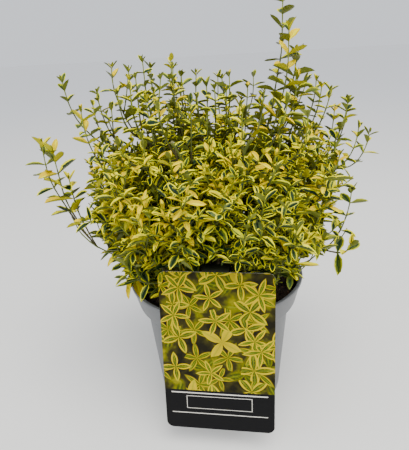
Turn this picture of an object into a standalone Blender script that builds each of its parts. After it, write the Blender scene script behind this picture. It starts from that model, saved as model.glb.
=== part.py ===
# A variegated wintercreeper in its nursery pot: pot, root ball, picture label,
# a short woody stock, one bough for each mass of foliage, and the masses.
# Metres, +Z up. The origin is the middle of the pot's flat underside.
import math
import random

import bmesh
import bpy
from mathutils import Matrix, Vector
from mathutils.bvhtree import BVHTree

# Gaps
GAP = 0.0003               # between pieces that touch
LEAF_CLEAR = 0.0034        # from a limb's middle line to any sample of a leaf
TWIG_CLEAR = 0.0040        # from a limb's middle line to a twig's middle line
SPACE_CLEAR = 0.0003       # from a mass's leaves to the border of its space
RIM_CLEAR = 0.0020         # from the pot's rim to foliage
SOIL_CLEAR = 0.0040        # from the soil up to foliage
CARD_CLEAR = 0.0025        # from the label's edges and strap to foliage
CARD_BACK_CLEAR = 0.0018   # from the label's back to foliage

# Pot, a 14 cm round nursery pot with a stepped rim band
POT_SIDES = 32
BASE_RADIUS = 0.0513
BODY_TOP_RADIUS = 0.0584
SHOULDER_LOW = 0.0835
BAND_LOW = 0.0865
BAND_LOW_RADIUS = 0.0641
LIP_LOW = 0.1030
BAND_TOP_RADIUS = 0.0680
LIP_RADIUS = 0.0690
RIM_HEIGHT = 0.1055
RIM_INNER_RADIUS = 0.0664
POT_WALL = 0.0013
POT_FLOOR = 0.0016
BASE_EDGE = 0.0012         # the chamfer round the underside
LIP_EDGE = 0.0005
DRAIN_HOLES = 8
DRAIN_RADIUS = 0.0040
DRAIN_CIRCLE = 0.0380

# Root ball
SOIL_EDGE_HEIGHT = 0.0955
SOIL_HEIGHT = 0.0980
SOIL_FLAT_RADIUS = 0.0170
SOIL_SIDES = 16
SOIL_RINGS = 4
SOIL_LUMP = 0.0011

# Label card, standing in front of the rim, with a strap down into the root ball
CARD_WIDTH = 0.0777
CARD_HEIGHT = 0.1212
CARD_THICK = 0.0008
CARD_CORNER = 0.0050
CARD_CENTRE_X = -0.0030
CARD_CENTRE_Z = 0.0790
CARD_YAW = math.radians(-9.2)
CARD_LEAN = math.radians(6.9)
STRAP_WIDTH = 0.0180
STRAP_REACH = 0.0120
STRAP_DROP = 0.0480
STRAP_STEPS = 8

# Woody stock in the middle
STOCK_FOOT_RADIUS = 0.0135
STOCK_RADIUS = 0.0100
STOCK_MIDDLE = 0.1120
STOCK_SIDES = 12
STOCK_STEPS = 4

# Limbs and twigs
BOUGH_SIDES = 5
BOUGH_STEPS = 4
BOUGH_START_RADIUS = 0.0015
BOUGH_TIP_RADIUS = 0.0012
STEM_RADIUS = 0.0014
STEM_STEPS = 3
TWIG_RADIUS = 0.0011
TWIG_TIP_RADIUS = 0.0008
TWIG_STEP = 0.036          # about the length of one straight piece of a shoot
TWIG_SIDES = 4             # the green shoots are four-angled, and a leaf stands on a flat side

# Leaves, fewer and larger than life
LEAF_LENGTH = 0.0290
LEAF_WIDTH_SHARE = 0.48
LEAF_THICK = 0.0012
LEAF_FOLD = 0.0010
LEAF_WIDEST = 0.46         # share of a leaf's length where it is widest
LEAF_ROOT_DEPTH = 0.0002
LEAF_STAGGER = 0.0007      # along the shoot, between the two leaves of a pair and its middle
LEAF_ANGLE = math.radians(56)
LEAF_STEP = 0.0235
LEAF_TRIES = 4
LEAF_SMALLER = 0.88        # size of each new try
TOP_LEAF_SIZE = 0.85
LEAF_SAMPLES = 12
BARE_FOOT = 0.22           # share of a shoot below its first leaves

# Crown: how far the foliage reaches from its middle, by height angle in degrees
CROWN_MIDDLE = Vector((0.0, 0.0, 0.115))
CROWN_REACH = ((-25, 0.076), (0, 0.090), (15, 0.100), (30, 0.113), (45, 0.122), (90, 0.123))
SHOOTS = 86
UPWARD = 0.68              # below 1, the shoots crowd towards the top of the dome
LOWEST_SHOOT = math.radians(-21)
GOLDEN_ANGLE = math.pi * (3 - math.sqrt(5))
SHOOT_ROOTS = (0.30, 0.95)   # where shoots leave their mass's stem, as shares of its length
SHOOT_TRIES = 8
SHOOT_LIFT = 0.004
SHOOT_SAMPLES = 40
LONG_SHOOT_LEAF = 0.66     # leaf size on the long shoots
LONG_SHOOT_CHANCE = 0.22
LONG_SHOOT_EXTRA = (0.008, 0.020)

# Rings of masses: name, count, first azimuth, radius and height of the middle,
# start angle of its bough on the stock, and the bough tip's radius and height
RINGS = (
    ("skirt", 8, 19.5, 0.070, 0.128, 8, 0.036, 0.1240),
    ("side", 6, 30.0, 0.064, 0.172, 38, 0.032, 0.1450),
    ("top", 6, 0.0, 0.050, 0.220, 66, 0.022, 0.1700),
    ("crest", 1, 0.0, 0.000, 0.225, 90, 0.000, 0.1720),
)

# Two outlying groups of shoots: middle of the space, bough start, bend and tip
OUTLIERS = {
    "left": ((-0.104, -0.017, 0.165), (177.0, 22), (-0.062, -0.010, 0.118), (-0.0870, -0.0185, 0.1395)),
    "right": ((0.098, -0.020, 0.145), (357.0, 22), (0.050, -0.010, 0.119), (0.0790, -0.0200, 0.1270)),
}

# Tips of the long shoots that stand out of the dome
LONG_TIPS = (
    (0.052, 0.010, 0.3050), (0.056, -0.010, 0.2860), (0.065, 0.020, 0.2680),
    (0.081, 0.020, 0.2400), (0.086, 0.000, 0.2350), (0.096, -0.010, 0.2270), (0.103, -0.014, 0.2080),
    (-0.096, -0.010, 0.2520), (-0.077, 0.000, 0.2450), (-0.066, 0.010, 0.2640), (-0.044, 0.010, 0.2680),
    (-0.048, -0.010, 0.2570), (-0.025, 0.020, 0.2670), (-0.008, 0.020, 0.2560), (0.014, 0.000, 0.2530),
    (0.030, 0.020, 0.2500), (0.034, -0.026, 0.2450), (-0.020, 0.062, 0.2500), (0.040, 0.060, 0.2460),
    (-0.030, -0.045, 0.2400), (-0.012, -0.030, 0.2420), (0.020, -0.050, 0.2360), (0.058, -0.052, 0.2250),
    (-0.114, -0.020, 0.2170), (-0.109, -0.010, 0.2090), (-0.122, -0.018, 0.1840), (-0.114, -0.004, 0.1730),
    (0.100, -0.020, 0.1700), (0.112, -0.016, 0.1540), (0.108, -0.026, 0.1260),
)


def polar(azimuth_degrees, radius, height):
    angle = math.radians(azimuth_degrees)
    return Vector((radius * math.cos(angle), radius * math.sin(angle), height))


def material(name, colour, roughness):
    made = bpy.data.materials.new(name)
    made.use_nodes = True
    shader = made.node_tree.nodes["Principled BSDF"]
    shader.inputs["Base Color"].default_value = (*colour, 1.0)
    shader.inputs["Roughness"].default_value = roughness
    shader.inputs["Metallic"].default_value = 0.0
    made.diffuse_color = (*colour, 1.0)
    return made


def object_from(name, vertices, faces, finish):
    mesh = bpy.data.meshes.new(name)
    mesh.from_pydata([tuple(v) for v in vertices], [], faces)
    mesh.update()
    made = bpy.data.objects.new(name, mesh)
    bpy.context.scene.collection.objects.link(made)
    made.data.materials.append(finish)
    return made


def turned(name, profile, sides, finish):
    """A closed turned body. The profile runs (radius, height) and closes on itself or on the axis."""
    mesh = bpy.data.meshes.new(name)
    shape = bmesh.new()
    points = [shape.verts.new((radius, 0.0, height)) for radius, height in profile]
    edges = [shape.edges.new(pair) for pair in zip(points, points[1:])]
    if profile[0][0] > 0.0:
        edges.append(shape.edges.new((points[-1], points[0])))
    bmesh.ops.spin(shape, geom=points + edges, axis=(0, 0, 1), cent=(0, 0, 0),
                   steps=sides, angle=math.tau, use_merge=True)
    bmesh.ops.remove_doubles(shape, verts=shape.verts, dist=0.00001)
    bmesh.ops.recalc_face_normals(shape, faces=shape.faces)
    shape.to_mesh(mesh)
    shape.free()
    mesh.materials.append(finish)
    mesh.shade_smooth()
    mesh.set_sharp_from_angle(angle=math.radians(35))
    made = bpy.data.objects.new(name, mesh)
    bpy.context.scene.collection.objects.link(made)
    return made


def apply_modifiers(target):
    """Puts the evaluated shape in the object's own mesh."""
    bpy.context.view_layer.update()
    evaluated = target.evaluated_get(bpy.context.evaluated_depsgraph_get())
    shape = bpy.data.meshes.new_from_object(evaluated)
    target.modifiers.clear()
    target.data = shape


def cut(target, cutter):
    """Takes the cutter's shape out of the target and removes the cutter."""
    step = target.modifiers.new("cut", "BOOLEAN")
    step.operation = "DIFFERENCE"
    step.object = cutter
    apply_modifiers(target)
    bpy.data.objects.remove(cutter)


# Pot and root ball

def inner_wall(height):
    """Inner radius of the pot at a height."""
    low_base = BASE_RADIUS - POT_WALL
    low_top = BODY_TOP_RADIUS - POT_WALL
    band_low = BAND_LOW_RADIUS - POT_WALL
    if height < SHOULDER_LOW:
        return low_base + (low_top - low_base) * height / SHOULDER_LOW
    if height < BAND_LOW:
        return low_top + (band_low - low_top) * (height - SHOULDER_LOW) / (BAND_LOW - SHOULDER_LOW)
    share = (height - BAND_LOW) / (RIM_HEIGHT - BAND_LOW)
    return band_low + (RIM_INNER_RADIUS - band_low) * share


def make_pot(finish):
    outer = [
        (BASE_RADIUS - BASE_EDGE, 0.0),
        (BASE_RADIUS, BASE_EDGE),
        (BODY_TOP_RADIUS, SHOULDER_LOW),
        (BAND_LOW_RADIUS, BAND_LOW),
        (BAND_TOP_RADIUS, LIP_LOW),
        (LIP_RADIUS, LIP_LOW + LIP_EDGE),
        (LIP_RADIUS, RIM_HEIGHT - LIP_EDGE),
        (LIP_RADIUS - LIP_EDGE, RIM_HEIGHT),
        (RIM_INNER_RADIUS, RIM_HEIGHT),
    ]
    inner = [(inner_wall(height), height) for height in (BAND_LOW, SHOULDER_LOW, POT_FLOOR)]
    profile = [(0.0, 0.0)] + outer + inner + [(0.0, POT_FLOOR)]
    pot = turned("pot", profile, POT_SIDES, finish)
    for index in range(DRAIN_HOLES):
        place = polar((index + 0.5) * 360 / DRAIN_HOLES, DRAIN_CIRCLE, POT_FLOOR / 2)
        bpy.ops.mesh.primitive_cylinder_add(vertices=8, radius=DRAIN_RADIUS, depth=4 * POT_FLOOR,
                                            location=place)
        cut(pot, bpy.context.object)
    return pot


def make_root_ball(finish):
    """Potting soil that fills the pot, lumpy on top, flat where the stock stands."""
    dice = random.Random(11)
    side = [(inner_wall(h) - GAP, h) for h in (POT_FLOOR + GAP, SHOULDER_LOW, BAND_LOW, SOIL_EDGE_HEIGHT)]
    top = []
    for ring in range(1, SOIL_RINGS + 1):
        share = ring / (SOIL_RINGS + 1)
        radius = side[-1][0] + (SOIL_FLAT_RADIUS - side[-1][0]) * share
        top.append((radius, SOIL_EDGE_HEIGHT + (SOIL_HEIGHT - SOIL_EDGE_HEIGHT) * share))
    top += [(SOIL_FLAT_RADIUS, SOIL_HEIGHT), (0.0, SOIL_HEIGHT)]
    ball = turned("root_ball", [(0.0, POT_FLOOR + GAP)] + side + top, SOIL_SIDES, finish)
    for vertex in ball.data.vertices:
        radius = math.hypot(vertex.co.x, vertex.co.y)
        if vertex.co.z > SOIL_EDGE_HEIGHT + GAP / 3 and radius > SOIL_FLAT_RADIUS + SOIL_LUMP:
            vertex.co.z += dice.uniform(-SOIL_LUMP, SOIL_LUMP)
    cut(ball, strap_box(GAP))
    return ball


# Label

def card_frame():
    """Card frame: x along its width, y into the plant, z up the card; origin at its middle."""
    turn = Matrix.Rotation(CARD_YAW, 4, "Z") @ Matrix.Rotation(-CARD_LEAN, 4, "X")
    back = turn.to_3x3() @ Vector((0, 1, 0))
    level = Vector((back.x, back.y, 0)).normalized()
    # the card's back lies against the lip of the rim, at the lip's own height
    behind = LIP_RADIUS + GAP + CARD_THICK / 2 / math.cos(CARD_LEAN)
    touch = -level * behind + Vector((0, 0, RIM_HEIGHT))
    down = (turn.to_3x3() @ Vector((0, 0, -1)))
    middle = touch + down * ((RIM_HEIGHT - CARD_CENTRE_Z) / math.cos(CARD_LEAN))
    along = turn.to_3x3() @ Vector((1, 0, 0))
    middle += along * ((CARD_CENTRE_X - middle.x) / along.x)
    return Matrix.Translation(middle) @ turn


def strap_box(clearance):
    """The strap's lower end, grown by a clearance, as a cutter for the soil."""
    half = STRAP_WIDTH / 2 + clearance
    low = CARD_HEIGHT / 2 - STRAP_DROP - clearance
    near = STRAP_REACH - CARD_THICK / 2 - clearance
    far = STRAP_REACH + CARD_THICK / 2 + clearance
    frame = card_frame()
    corners = [frame @ Vector((x, y, z)) for z in (low, CARD_HEIGHT / 2) for y in (near, far)
               for x in (-half, half)]
    faces = [(0, 2, 3, 1), (4, 5, 7, 6), (0, 1, 5, 4), (2, 6, 7, 3), (0, 4, 6, 2), (1, 3, 7, 5)]
    box = object_from("strap_box", corners, faces, bpy.data.materials["soil"])
    box.hide_render = True
    box.display_type = "WIRE"
    return box


def make_label(finish):
    """A rounded card, and a strap that folds back from its top edge and down."""
    frame = card_frame()
    half_w = CARD_WIDTH / 2
    half_h = CARD_HEIGHT / 2
    outline = []
    for quarter, (sx, sz) in enumerate(((1, 1), (-1, 1), (-1, -1), (1, -1))):
        for step in range(4):
            angle = math.pi / 2 * (quarter + step / 3)
            outline.append((sx * (half_w - CARD_CORNER) + CARD_CORNER * math.cos(angle),
                            sz * (half_h - CARD_CORNER) + CARD_CORNER * math.sin(angle)))
    count = len(outline)
    vertices = [frame @ Vector((x, y, z)) for y in (-CARD_THICK / 2, CARD_THICK / 2) for x, z in outline]
    faces = [tuple(range(count)), tuple(reversed(range(count, 2 * count)))]
    faces += [(i, i + count, (i + 1) % count + count, (i + 1) % count) for i in range(count)]
    card = object_from("label_card", vertices, faces, finish)

    # the strap's path in the card frame, from inside the card over a fold and down
    inner = CARD_THICK / 2
    sunk = inner / 2
    path = [(sunk, half_h - CARD_CORNER), (sunk, half_h - CARD_THICK)]
    outer = [(sunk, half_h - CARD_CORNER), (sunk, half_h)]
    radius = STRAP_REACH / 2
    for step in range(1, STRAP_STEPS):
        angle = math.pi * (1 - step / STRAP_STEPS)
        path.append((radius + (radius - inner) * math.cos(angle),
                     half_h + (radius / 2 - CARD_THICK) * math.sin(angle)))
        outer.append((radius + (radius + inner) * math.cos(angle), half_h + radius / 2 * math.sin(angle)))
    path.append((STRAP_REACH - inner, half_h - STRAP_DROP))
    outer.append((STRAP_REACH + inner, half_h - STRAP_DROP))
    section = path + list(reversed(outer[1:]))
    count = len(section)
    half = STRAP_WIDTH / 2
    vertices = [frame @ Vector((x, y, z)) for x in (-half, half) for y, z in section]
    faces = [tuple(range(count)), tuple(reversed(range(count, 2 * count)))]
    faces += [(i, i + count, (i + 1) % count + count, (i + 1) % count) for i in range(count)]
    strap = object_from("strap", vertices, faces, finish)
    face_outwards(card)
    face_outwards(strap)
    step = card.modifiers.new("join", "BOOLEAN")
    step.operation = "UNION"
    step.object = strap
    apply_modifiers(card)
    bpy.data.objects.remove(strap)
    return card


def face_outwards(target):
    shape = bmesh.new()
    shape.from_mesh(target.data)
    bmesh.ops.recalc_face_normals(shape, faces=shape.faces)
    shape.to_mesh(target.data)
    shape.free()


# Stock and limbs

def make_stock(finish):
    foot = SOIL_HEIGHT + GAP
    profile = [(0.0, foot)]
    for step in range(STOCK_STEPS + 1):
        # the root flare falls off with the square of the height share
        share = step / STOCK_STEPS
        flare = (STOCK_FOOT_RADIUS - STOCK_RADIUS) * (1 - share) ** 2
        profile.append((STOCK_RADIUS + flare, foot + (STOCK_MIDDLE - foot) * share))
    for step in range(1, STOCK_STEPS):
        angle = math.pi / 2 * step / STOCK_STEPS
        profile.append((STOCK_RADIUS * math.cos(angle), STOCK_MIDDLE + STOCK_RADIUS * math.sin(angle)))
    profile.append((0.0, STOCK_MIDDLE + STOCK_RADIUS))
    return turned("stem_base", profile, STOCK_SIDES, finish)


def bezier(start, bend, end, share):
    return start * (1 - share) ** 2 + bend * 2 * share * (1 - share) + end * share ** 2


def curve_points(start, bend, end, steps):
    return [bezier(start, bend, end, index / steps) for index in range(steps + 1)]


def frames(points):
    """At each point of a path: its direction, and two directions square to it that don't twist."""
    found = []
    side = None
    for index in range(len(points)):
        before = points[max(index - 1, 0)]
        after = points[min(index + 1, len(points) - 1)]
        along = (after - before).normalized()
        side = side or along.orthogonal().normalized()
        side = (side - along * side.dot(along)).normalized()
        found.append((along, side, along.cross(side)))
    return found


def limb(name, points, start_radius, tip_radius, sides, finish):
    """A tapering limb: a ring of corners square to the path at each point, with flat ends."""
    vertices = []
    last = len(points) - 1
    for index, (point, (_, side, across)) in enumerate(zip(points, frames(points))):
        radius = start_radius + (tip_radius - start_radius) * index / last
        for corner in range(sides):
            angle = math.tau * corner / sides
            vertices.append(point + (side * math.cos(angle) + across * math.sin(angle)) * radius)
    faces = [tuple(reversed(range(sides))), tuple(range(last * sides, (last + 1) * sides))]
    for ring in range(last):
        for corner in range(sides):
            follow = (corner + 1) % sides
            low = ring * sides
            high = low + sides
            faces.append((low + corner, low + follow, high + follow, high + corner))
    return object_from(name, vertices, faces, finish)


# Masses of foliage

class Mass:
    """One mass: its middle, its bough's path, and the space that it keeps to."""

    def __init__(self, name, middle, start, bend, tip):
        self.name = name
        self.middle = Vector(middle)
        self.path = [start, bend, tip]
        self.borders = []


def plan_masses():
    masses = []
    stock_top = Vector((0, 0, STOCK_MIDDLE))
    for ring, count, first, radius, height, rise, tip_radius, tip_height in RINGS:
        for index in range(count):
            azimuth = first + index * 360 / count
            away = polar(azimuth, math.cos(math.radians(rise)), math.sin(math.radians(rise)))
            start = stock_top + away * (STOCK_RADIUS + GAP)
            tip = polar(azimuth, tip_radius, tip_height)
            bend = start + away * (tip - start).length * 0.5
            name = f"{ring}_{index + 1}" if count > 1 else ring
            masses.append(Mass(name, polar(azimuth, radius, height), start, bend, tip))
    for name, (middle, (azimuth, rise), bend, tip) in OUTLIERS.items():
        away = polar(azimuth, math.cos(math.radians(rise)), math.sin(math.radians(rise)))
        start = stock_top + away * (STOCK_RADIUS + GAP)
        masses.append(Mass(f"outlier_{name}", middle, start, Vector(bend), Vector(tip)))
    # a mass keeps to the points that lie nearer its middle than any other's
    for mass in masses:
        for other in masses:
            if other is not mass:
                away = (mass.middle - other.middle).normalized()
                mass.borders.append((away, away.dot((mass.middle + other.middle) / 2) + SPACE_CLEAR))
    return masses


def inside(mass, point):
    return all(away.dot(point) > limit for away, limit in mass.borders)


def reach(height_angle):
    """Crown reach for a height angle in radians, read between the stated angles."""
    degrees = math.degrees(height_angle)
    for (low, near), (high, far) in zip(CROWN_REACH, CROWN_REACH[1:]):
        if degrees <= high:
            return near + (far - near) * max(0.0, degrees - low) / (high - low)
    return CROWN_REACH[-1][1]


def segment_distance(point, start, end):
    run = end - start
    share = max(0.0, min(1.0, (point - start).dot(run) / run.length_squared))
    return (point - start - run * share).length


class Surroundings:
    """What foliage stays clear of: pot, soil, label, stock and every limb."""

    def __init__(self, limbs):
        self.limbs = limbs
        self.to_card = card_frame().inverted()

    def blocked(self, point, clearance):
        radius = math.hypot(point.x, point.y)
        if radius < LIP_RADIUS + RIM_CLEAR:
            if point.z < SOIL_HEIGHT + SOIL_CLEAR:
                return True
            if radius > RIM_INNER_RADIUS - 2 * RIM_CLEAR and point.z < RIM_HEIGHT + RIM_CLEAR:
                return True
        if radius < STOCK_FOOT_RADIUS + clearance and point.z < STOCK_MIDDLE + STOCK_RADIUS + clearance:
            return True
        card = self.to_card @ point
        above = card.z - CARD_HEIGHT / 2 - CARD_CLEAR
        if above < 0 and card.y < CARD_THICK / 2 + CARD_BACK_CLEAR:
            if abs(card.x) < CARD_WIDTH / 2 + CARD_CLEAR:
                return True
        if above < STRAP_REACH / 4 and card.y < STRAP_REACH + CARD_CLEAR:
            if abs(card.x) < STRAP_WIDTH / 2 + CARD_CLEAR:
                return True
        for path in self.limbs:
            for start, end in zip(path, path[1:]):
                if segment_distance(point, start, end) < clearance:
                    return True
        return False


def leaf_shape(root, along, up, length):
    """Eight faces: root, tip, two edges lifted into a shallow fold, and the midrib above and below."""
    across = along.cross(up).normalized()
    widest = root + along * length * LEAF_WIDEST
    width = length * LEAF_WIDTH_SHARE / 2
    lift = up * LEAF_FOLD
    return [
        root,
        root + along * length - up * LEAF_FOLD * 0.8,
        widest - across * width + lift,
        widest + across * width + lift,
        widest + up * LEAF_THICK / 2,
        widest - up * LEAF_THICK / 2,
    ]


LEAF_FACES = [(0, 2, 4), (0, 4, 3), (1, 4, 2), (1, 3, 4), (0, 5, 2), (0, 3, 5), (1, 2, 5), (1, 5, 3)]


def leaf_samples(corners):
    """Points over the blade, close enough together that no limb passes between them."""
    root, tip, left, right, top, _ = corners
    samples = []
    for index in range(1, LEAF_SAMPLES + 1):
        share = index / LEAF_SAMPLES
        row = []
        for widest in (left, top, right):
            if share < LEAF_WIDEST:
                row.append(root.lerp(widest, share / LEAF_WIDEST))
            else:
                row.append(widest.lerp(tip, (share - LEAF_WIDEST) / (1 - LEAF_WIDEST)))
        samples += row + [row[1].lerp(row[0], 0.5), row[1].lerp(row[2], 0.5)]
    return samples


def grow_leaves(mass, points, surroundings, length, step, dice, pieces, trees, finish):
    """Opposite pairs of leaves along a shoot, each pair a quarter turn from the last, and a top pair.

    The trees are the shapes that a leaf stays clear of: the earlier leaves, and the other shoots.
    A leaf that doesn't fit is tried again, a little smaller and turned, and then skipped.
    """
    lengths = [(b - a).length for a, b in zip(points, points[1:])]
    turned_frames = frames(points)
    total = sum(lengths)
    pairs = max(2, round(total * (1 - BARE_FOOT) / step))
    first = dice.randrange(2)
    for pair in range(pairs + 1):
        spot = (BARE_FOOT + (1 - BARE_FOOT) * pair / pairs - 0.025) * total
        index = 0
        while index < len(lengths) - 1 and spot > lengths[index]:
            spot -= lengths[index]
            index += 1
        along = (points[index + 1] - points[index]).normalized()
        node = points[index] + along * spot
        side = turned_frames[index][1]
        end_pair = pair == pairs
        for half in (0, 1):
            quarter = math.pi / 2 * ((first + pair) % 2 + 2 * half + 0.5)
            stagger = along * (LEAF_STAGGER if half else -LEAF_STAGGER)
            for attempt in range(LEAF_TRIES):
                out = Matrix.Rotation(quarter + dice.uniform(-0.2, 0.2), 3, along) @ side
                angle = LEAF_ANGLE * (0.55 if end_pair else 1.0) + dice.uniform(-0.25, 0.25)
                aim = (along * math.cos(angle) + out * math.sin(angle)).normalized()
                up = (along - aim * along.dot(aim)).normalized()
                size = length * dice.uniform(0.85, 1.1) * LEAF_SMALLER ** attempt
                size *= TOP_LEAF_SIZE if end_pair else 1.0
                corners = leaf_shape(node - aim * LEAF_ROOT_DEPTH + stagger, aim, up, size)
                if fits(corners, mass, surroundings, trees):
                    leaf = object_from("leaf", corners, LEAF_FACES, finish)
                    face_outwards(leaf)
                    pieces.append(leaf)
                    break


def fits(corners, mass, surroundings, trees):
    """Whether a leaf keeps to its mass's space, clear of the limbs and of what the trees hold."""
    if not all(inside(mass, corner) for corner in corners):
        return False
    if any(surroundings.blocked(sample, LEAF_CLEAR) for sample in leaf_samples(corners)):
        return False
    tree = BVHTree.FromPolygons(corners, LEAF_FACES)
    if any(tree.overlap(other) for other in trees):
        return False
    trees.append(tree)
    return True


def shoot_bend(foot, tip):
    """Bend point of a shoot: it leaves sideways and then turns up, the more so the steeper it is."""
    run = tip - foot
    level = Vector((run.x, run.y, 0))
    steep = abs(run.z) / max(run.length, 0.0001)
    bend = foot + level * (0.55 + 0.35 * steep)
    bend.z += run.z * (0.50 - 0.15 * steep)
    return bend


def plan_tips(masses):
    """Tips spread evenly over the dome by the golden angle, and the long tips, each given to a mass."""
    dice = random.Random(5)
    tips = {mass.name: [] for mass in masses}
    found = []
    lowest = math.sin(LOWEST_SHOOT)
    for index in range(SHOOTS):
        rise = math.asin(lowest + (1 - lowest) * ((index + 0.5) / SHOOTS) ** UPWARD)
        turn = index * GOLDEN_ANGLE
        away = Vector((math.cos(rise) * math.cos(turn), math.cos(rise) * math.sin(turn), math.sin(rise)))
        far = reach(rise) * dice.uniform(0.88, 1.0)
        if rise > math.radians(35) and dice.random() < LONG_SHOOT_CHANCE:
            far += dice.uniform(*LONG_SHOOT_EXTRA)
        found.append((CROWN_MIDDLE + away * (far - LEAF_LENGTH * 0.5), LEAF_LENGTH, LEAF_STEP))
    for tip in LONG_TIPS:
        found.append((Vector(tip), LEAF_LENGTH * LONG_SHOOT_LEAF, LEAF_STEP))
    for tip, length, step in found:
        for mass in masses:
            if inside(mass, tip):
                tips[mass.name].append((tip, length, step))
    return tips


def grow_shoot(mass, root, tip, surroundings):
    """A shoot's bent path, raised in small steps while something is in its way; none if it never fits."""
    for lift in range(SHOOT_TRIES):
        end = tip + Vector((0, 0, lift * SHOOT_LIFT))
        bend = shoot_bend(root, end)
        if not inside(mass, bend):
            bend = (root + end) / 2
        clear = curve_points(root, bend, end, SHOOT_SAMPLES)[SHOOT_SAMPLES // 10:]
        if not all(inside(mass, point) for point in clear):
            return None
        if not any(surroundings.blocked(point, TWIG_CLEAR) for point in clear):
            steps = max(2, round((end - root).length / TWIG_STEP))
            return curve_points(root, bend, end, steps)
    return None


def tree_of(piece):
    return BVHTree.FromPolygons([v.co for v in piece.data.vertices], [p.vertices for p in piece.data.polygons])


def make_mass(mass, tips, surroundings, seed, finish):
    dice = random.Random(seed)
    _, bend, tip = mass.path
    away = (tip - bend).normalized()
    foot = tip + away * GAP
    hub = mass.middle
    while surroundings.blocked(hub, TWIG_CLEAR):
        hub = hub.lerp(tip, 0.15)
    stem_bend = foot + away * (hub - foot).length * 0.4
    stem_path = curve_points(foot, stem_bend, hub, STEM_STEPS)
    name = f"foliage_{mass.name}"
    body = limb(name, stem_path, STEM_RADIUS, TWIG_RADIUS, TWIG_SIDES, finish)
    shoots = []
    for end, length, step in tips:
        root = bezier(foot, stem_bend, hub, dice.uniform(*SHOOT_ROOTS))
        path = grow_shoot(mass, root, end, surroundings)
        if path:
            shoots.append((path, length, step, limb("twig", path, TWIG_RADIUS, TWIG_TIP_RADIUS, TWIG_SIDES, finish)))
    pieces = [shoot[3] for shoot in shoots]
    trees = {piece: tree_of(piece) for piece in pieces}
    leaf_trees = []
    for path, length, step, twig in shoots:
        others = [tree for piece, tree in trees.items() if piece is not twig]
        near = others + leaf_trees
        grow_leaves(mass, path, surroundings, length, step, dice, pieces, near, finish)
        leaf_trees = near[len(others):]
    near = list(trees.values()) + leaf_trees
    grow_leaves(mass, stem_path, surroundings, LEAF_LENGTH * 0.9, LEAF_STEP, dice, pieces, near, finish)
    group = bpy.data.collections.new(name)
    for piece in pieces:
        group.objects.link(piece)
    step = body.modifiers.new("join", "BOOLEAN")
    step.operation = "UNION"
    step.operand_type = "COLLECTION"
    step.collection = group
    apply_modifiers(body)
    for piece in pieces:
        bpy.data.objects.remove(piece)
    bpy.data.collections.remove(group)
    keep_main_body(body)
    return body, len(shoots), len(pieces) - len(shoots)


def keep_main_body(target):
    """Keeps the largest joined body, so loose scraps and sealed hollows go."""
    shape = bmesh.new()
    shape.from_mesh(target.data)
    bmesh.ops.triangulate(shape, faces=shape.faces)
    left = set(shape.faces)
    bodies = []
    while left:
        start = left.pop()
        found = [start]
        queue = [start]
        while queue:
            face = queue.pop()
            for edge in face.edges:
                for near in edge.link_faces:
                    if near in left:
                        left.remove(near)
                        found.append(near)
                        queue.append(near)
        volume = sum(f.verts[0].co.dot(f.verts[1].co.cross(f.verts[2].co)) for f in found) / 6
        bodies.append((volume, found))
    bodies.sort(key=lambda entry: entry[0])
    for _, faces in bodies[:-1]:
        bmesh.ops.delete(shape, geom=faces, context="FACES")
    loose = [vertex for vertex in shape.verts if not vertex.link_faces]
    bmesh.ops.delete(shape, geom=loose, context="VERTS")
    shape.to_mesh(target.data)
    shape.free()


def build():
    for old in list(bpy.data.objects):
        bpy.data.objects.remove(old)
    grey = material("pot_plastic", (0.42, 0.43, 0.44), 0.45)
    soil = material("soil", (0.020, 0.013, 0.009), 0.95)
    card = material("label_plastic", (0.62, 0.55, 0.06), 0.35)
    bark = material("bark", (0.16, 0.13, 0.07), 0.8)
    green_stem = material("green_stem", (0.20, 0.26, 0.08), 0.6)
    leaf = material("leaf", (0.42, 0.46, 0.06), 0.5)
    make_pot(grey)
    make_root_ball(soil)
    make_label(card)
    make_stock(bark)
    masses = plan_masses()
    limbs = []
    for mass in masses:
        path = curve_points(*mass.path, BOUGH_STEPS)
        limb(f"bough_{mass.name}", path, BOUGH_START_RADIUS, BOUGH_TIP_RADIUS, BOUGH_SIDES, green_stem)
        limbs.append(path)
    tips = plan_tips(masses)
    # the mass's own bough is the limb that it grows on from, and its leaves stay off that one too
    surroundings = Surroundings(limbs)
    for index, mass in enumerate(masses):
        body, shoots, leaves = make_mass(mass, tips[mass.name], surroundings, 100 + index, leaf)
        print(body.name, "shoots", shoots, "leaves", leaves, "triangles", len(body.data.polygons))


build()
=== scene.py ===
# A variegated wintercreeper in its nursery pot: finishes, soil, picture label, bark, shoots and
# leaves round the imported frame. Metres, +Z up, the origin in the middle of the pot's underside.
import math
from itertools import combinations

import bpy
import numpy as np
from mathutils import Matrix, Vector


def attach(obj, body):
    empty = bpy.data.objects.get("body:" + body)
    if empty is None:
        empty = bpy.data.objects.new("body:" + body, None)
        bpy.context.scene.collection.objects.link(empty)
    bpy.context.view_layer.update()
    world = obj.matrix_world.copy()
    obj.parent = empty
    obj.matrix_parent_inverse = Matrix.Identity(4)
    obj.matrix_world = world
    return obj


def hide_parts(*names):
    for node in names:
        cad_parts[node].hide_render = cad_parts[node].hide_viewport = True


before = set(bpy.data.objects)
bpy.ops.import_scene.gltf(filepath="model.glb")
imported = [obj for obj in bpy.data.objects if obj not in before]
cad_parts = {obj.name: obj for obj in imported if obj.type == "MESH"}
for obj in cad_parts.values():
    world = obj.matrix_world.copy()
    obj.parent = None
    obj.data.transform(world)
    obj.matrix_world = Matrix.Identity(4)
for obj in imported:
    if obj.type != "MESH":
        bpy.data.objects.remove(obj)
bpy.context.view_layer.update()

tau = math.tau


# Camera, light and floor

cameraValues = {
    "place": (-0.0064, -0.3220, 0.2766),
    "pitch": 22.12,  # degrees below level
    "roll": -3.28,
    "heading": -0.157,
    "focalPixels": 444.5,  # for an image 409 wide and 450 high
    "imageHeight": 450,
    "sensor": 36.0,
}


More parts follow.
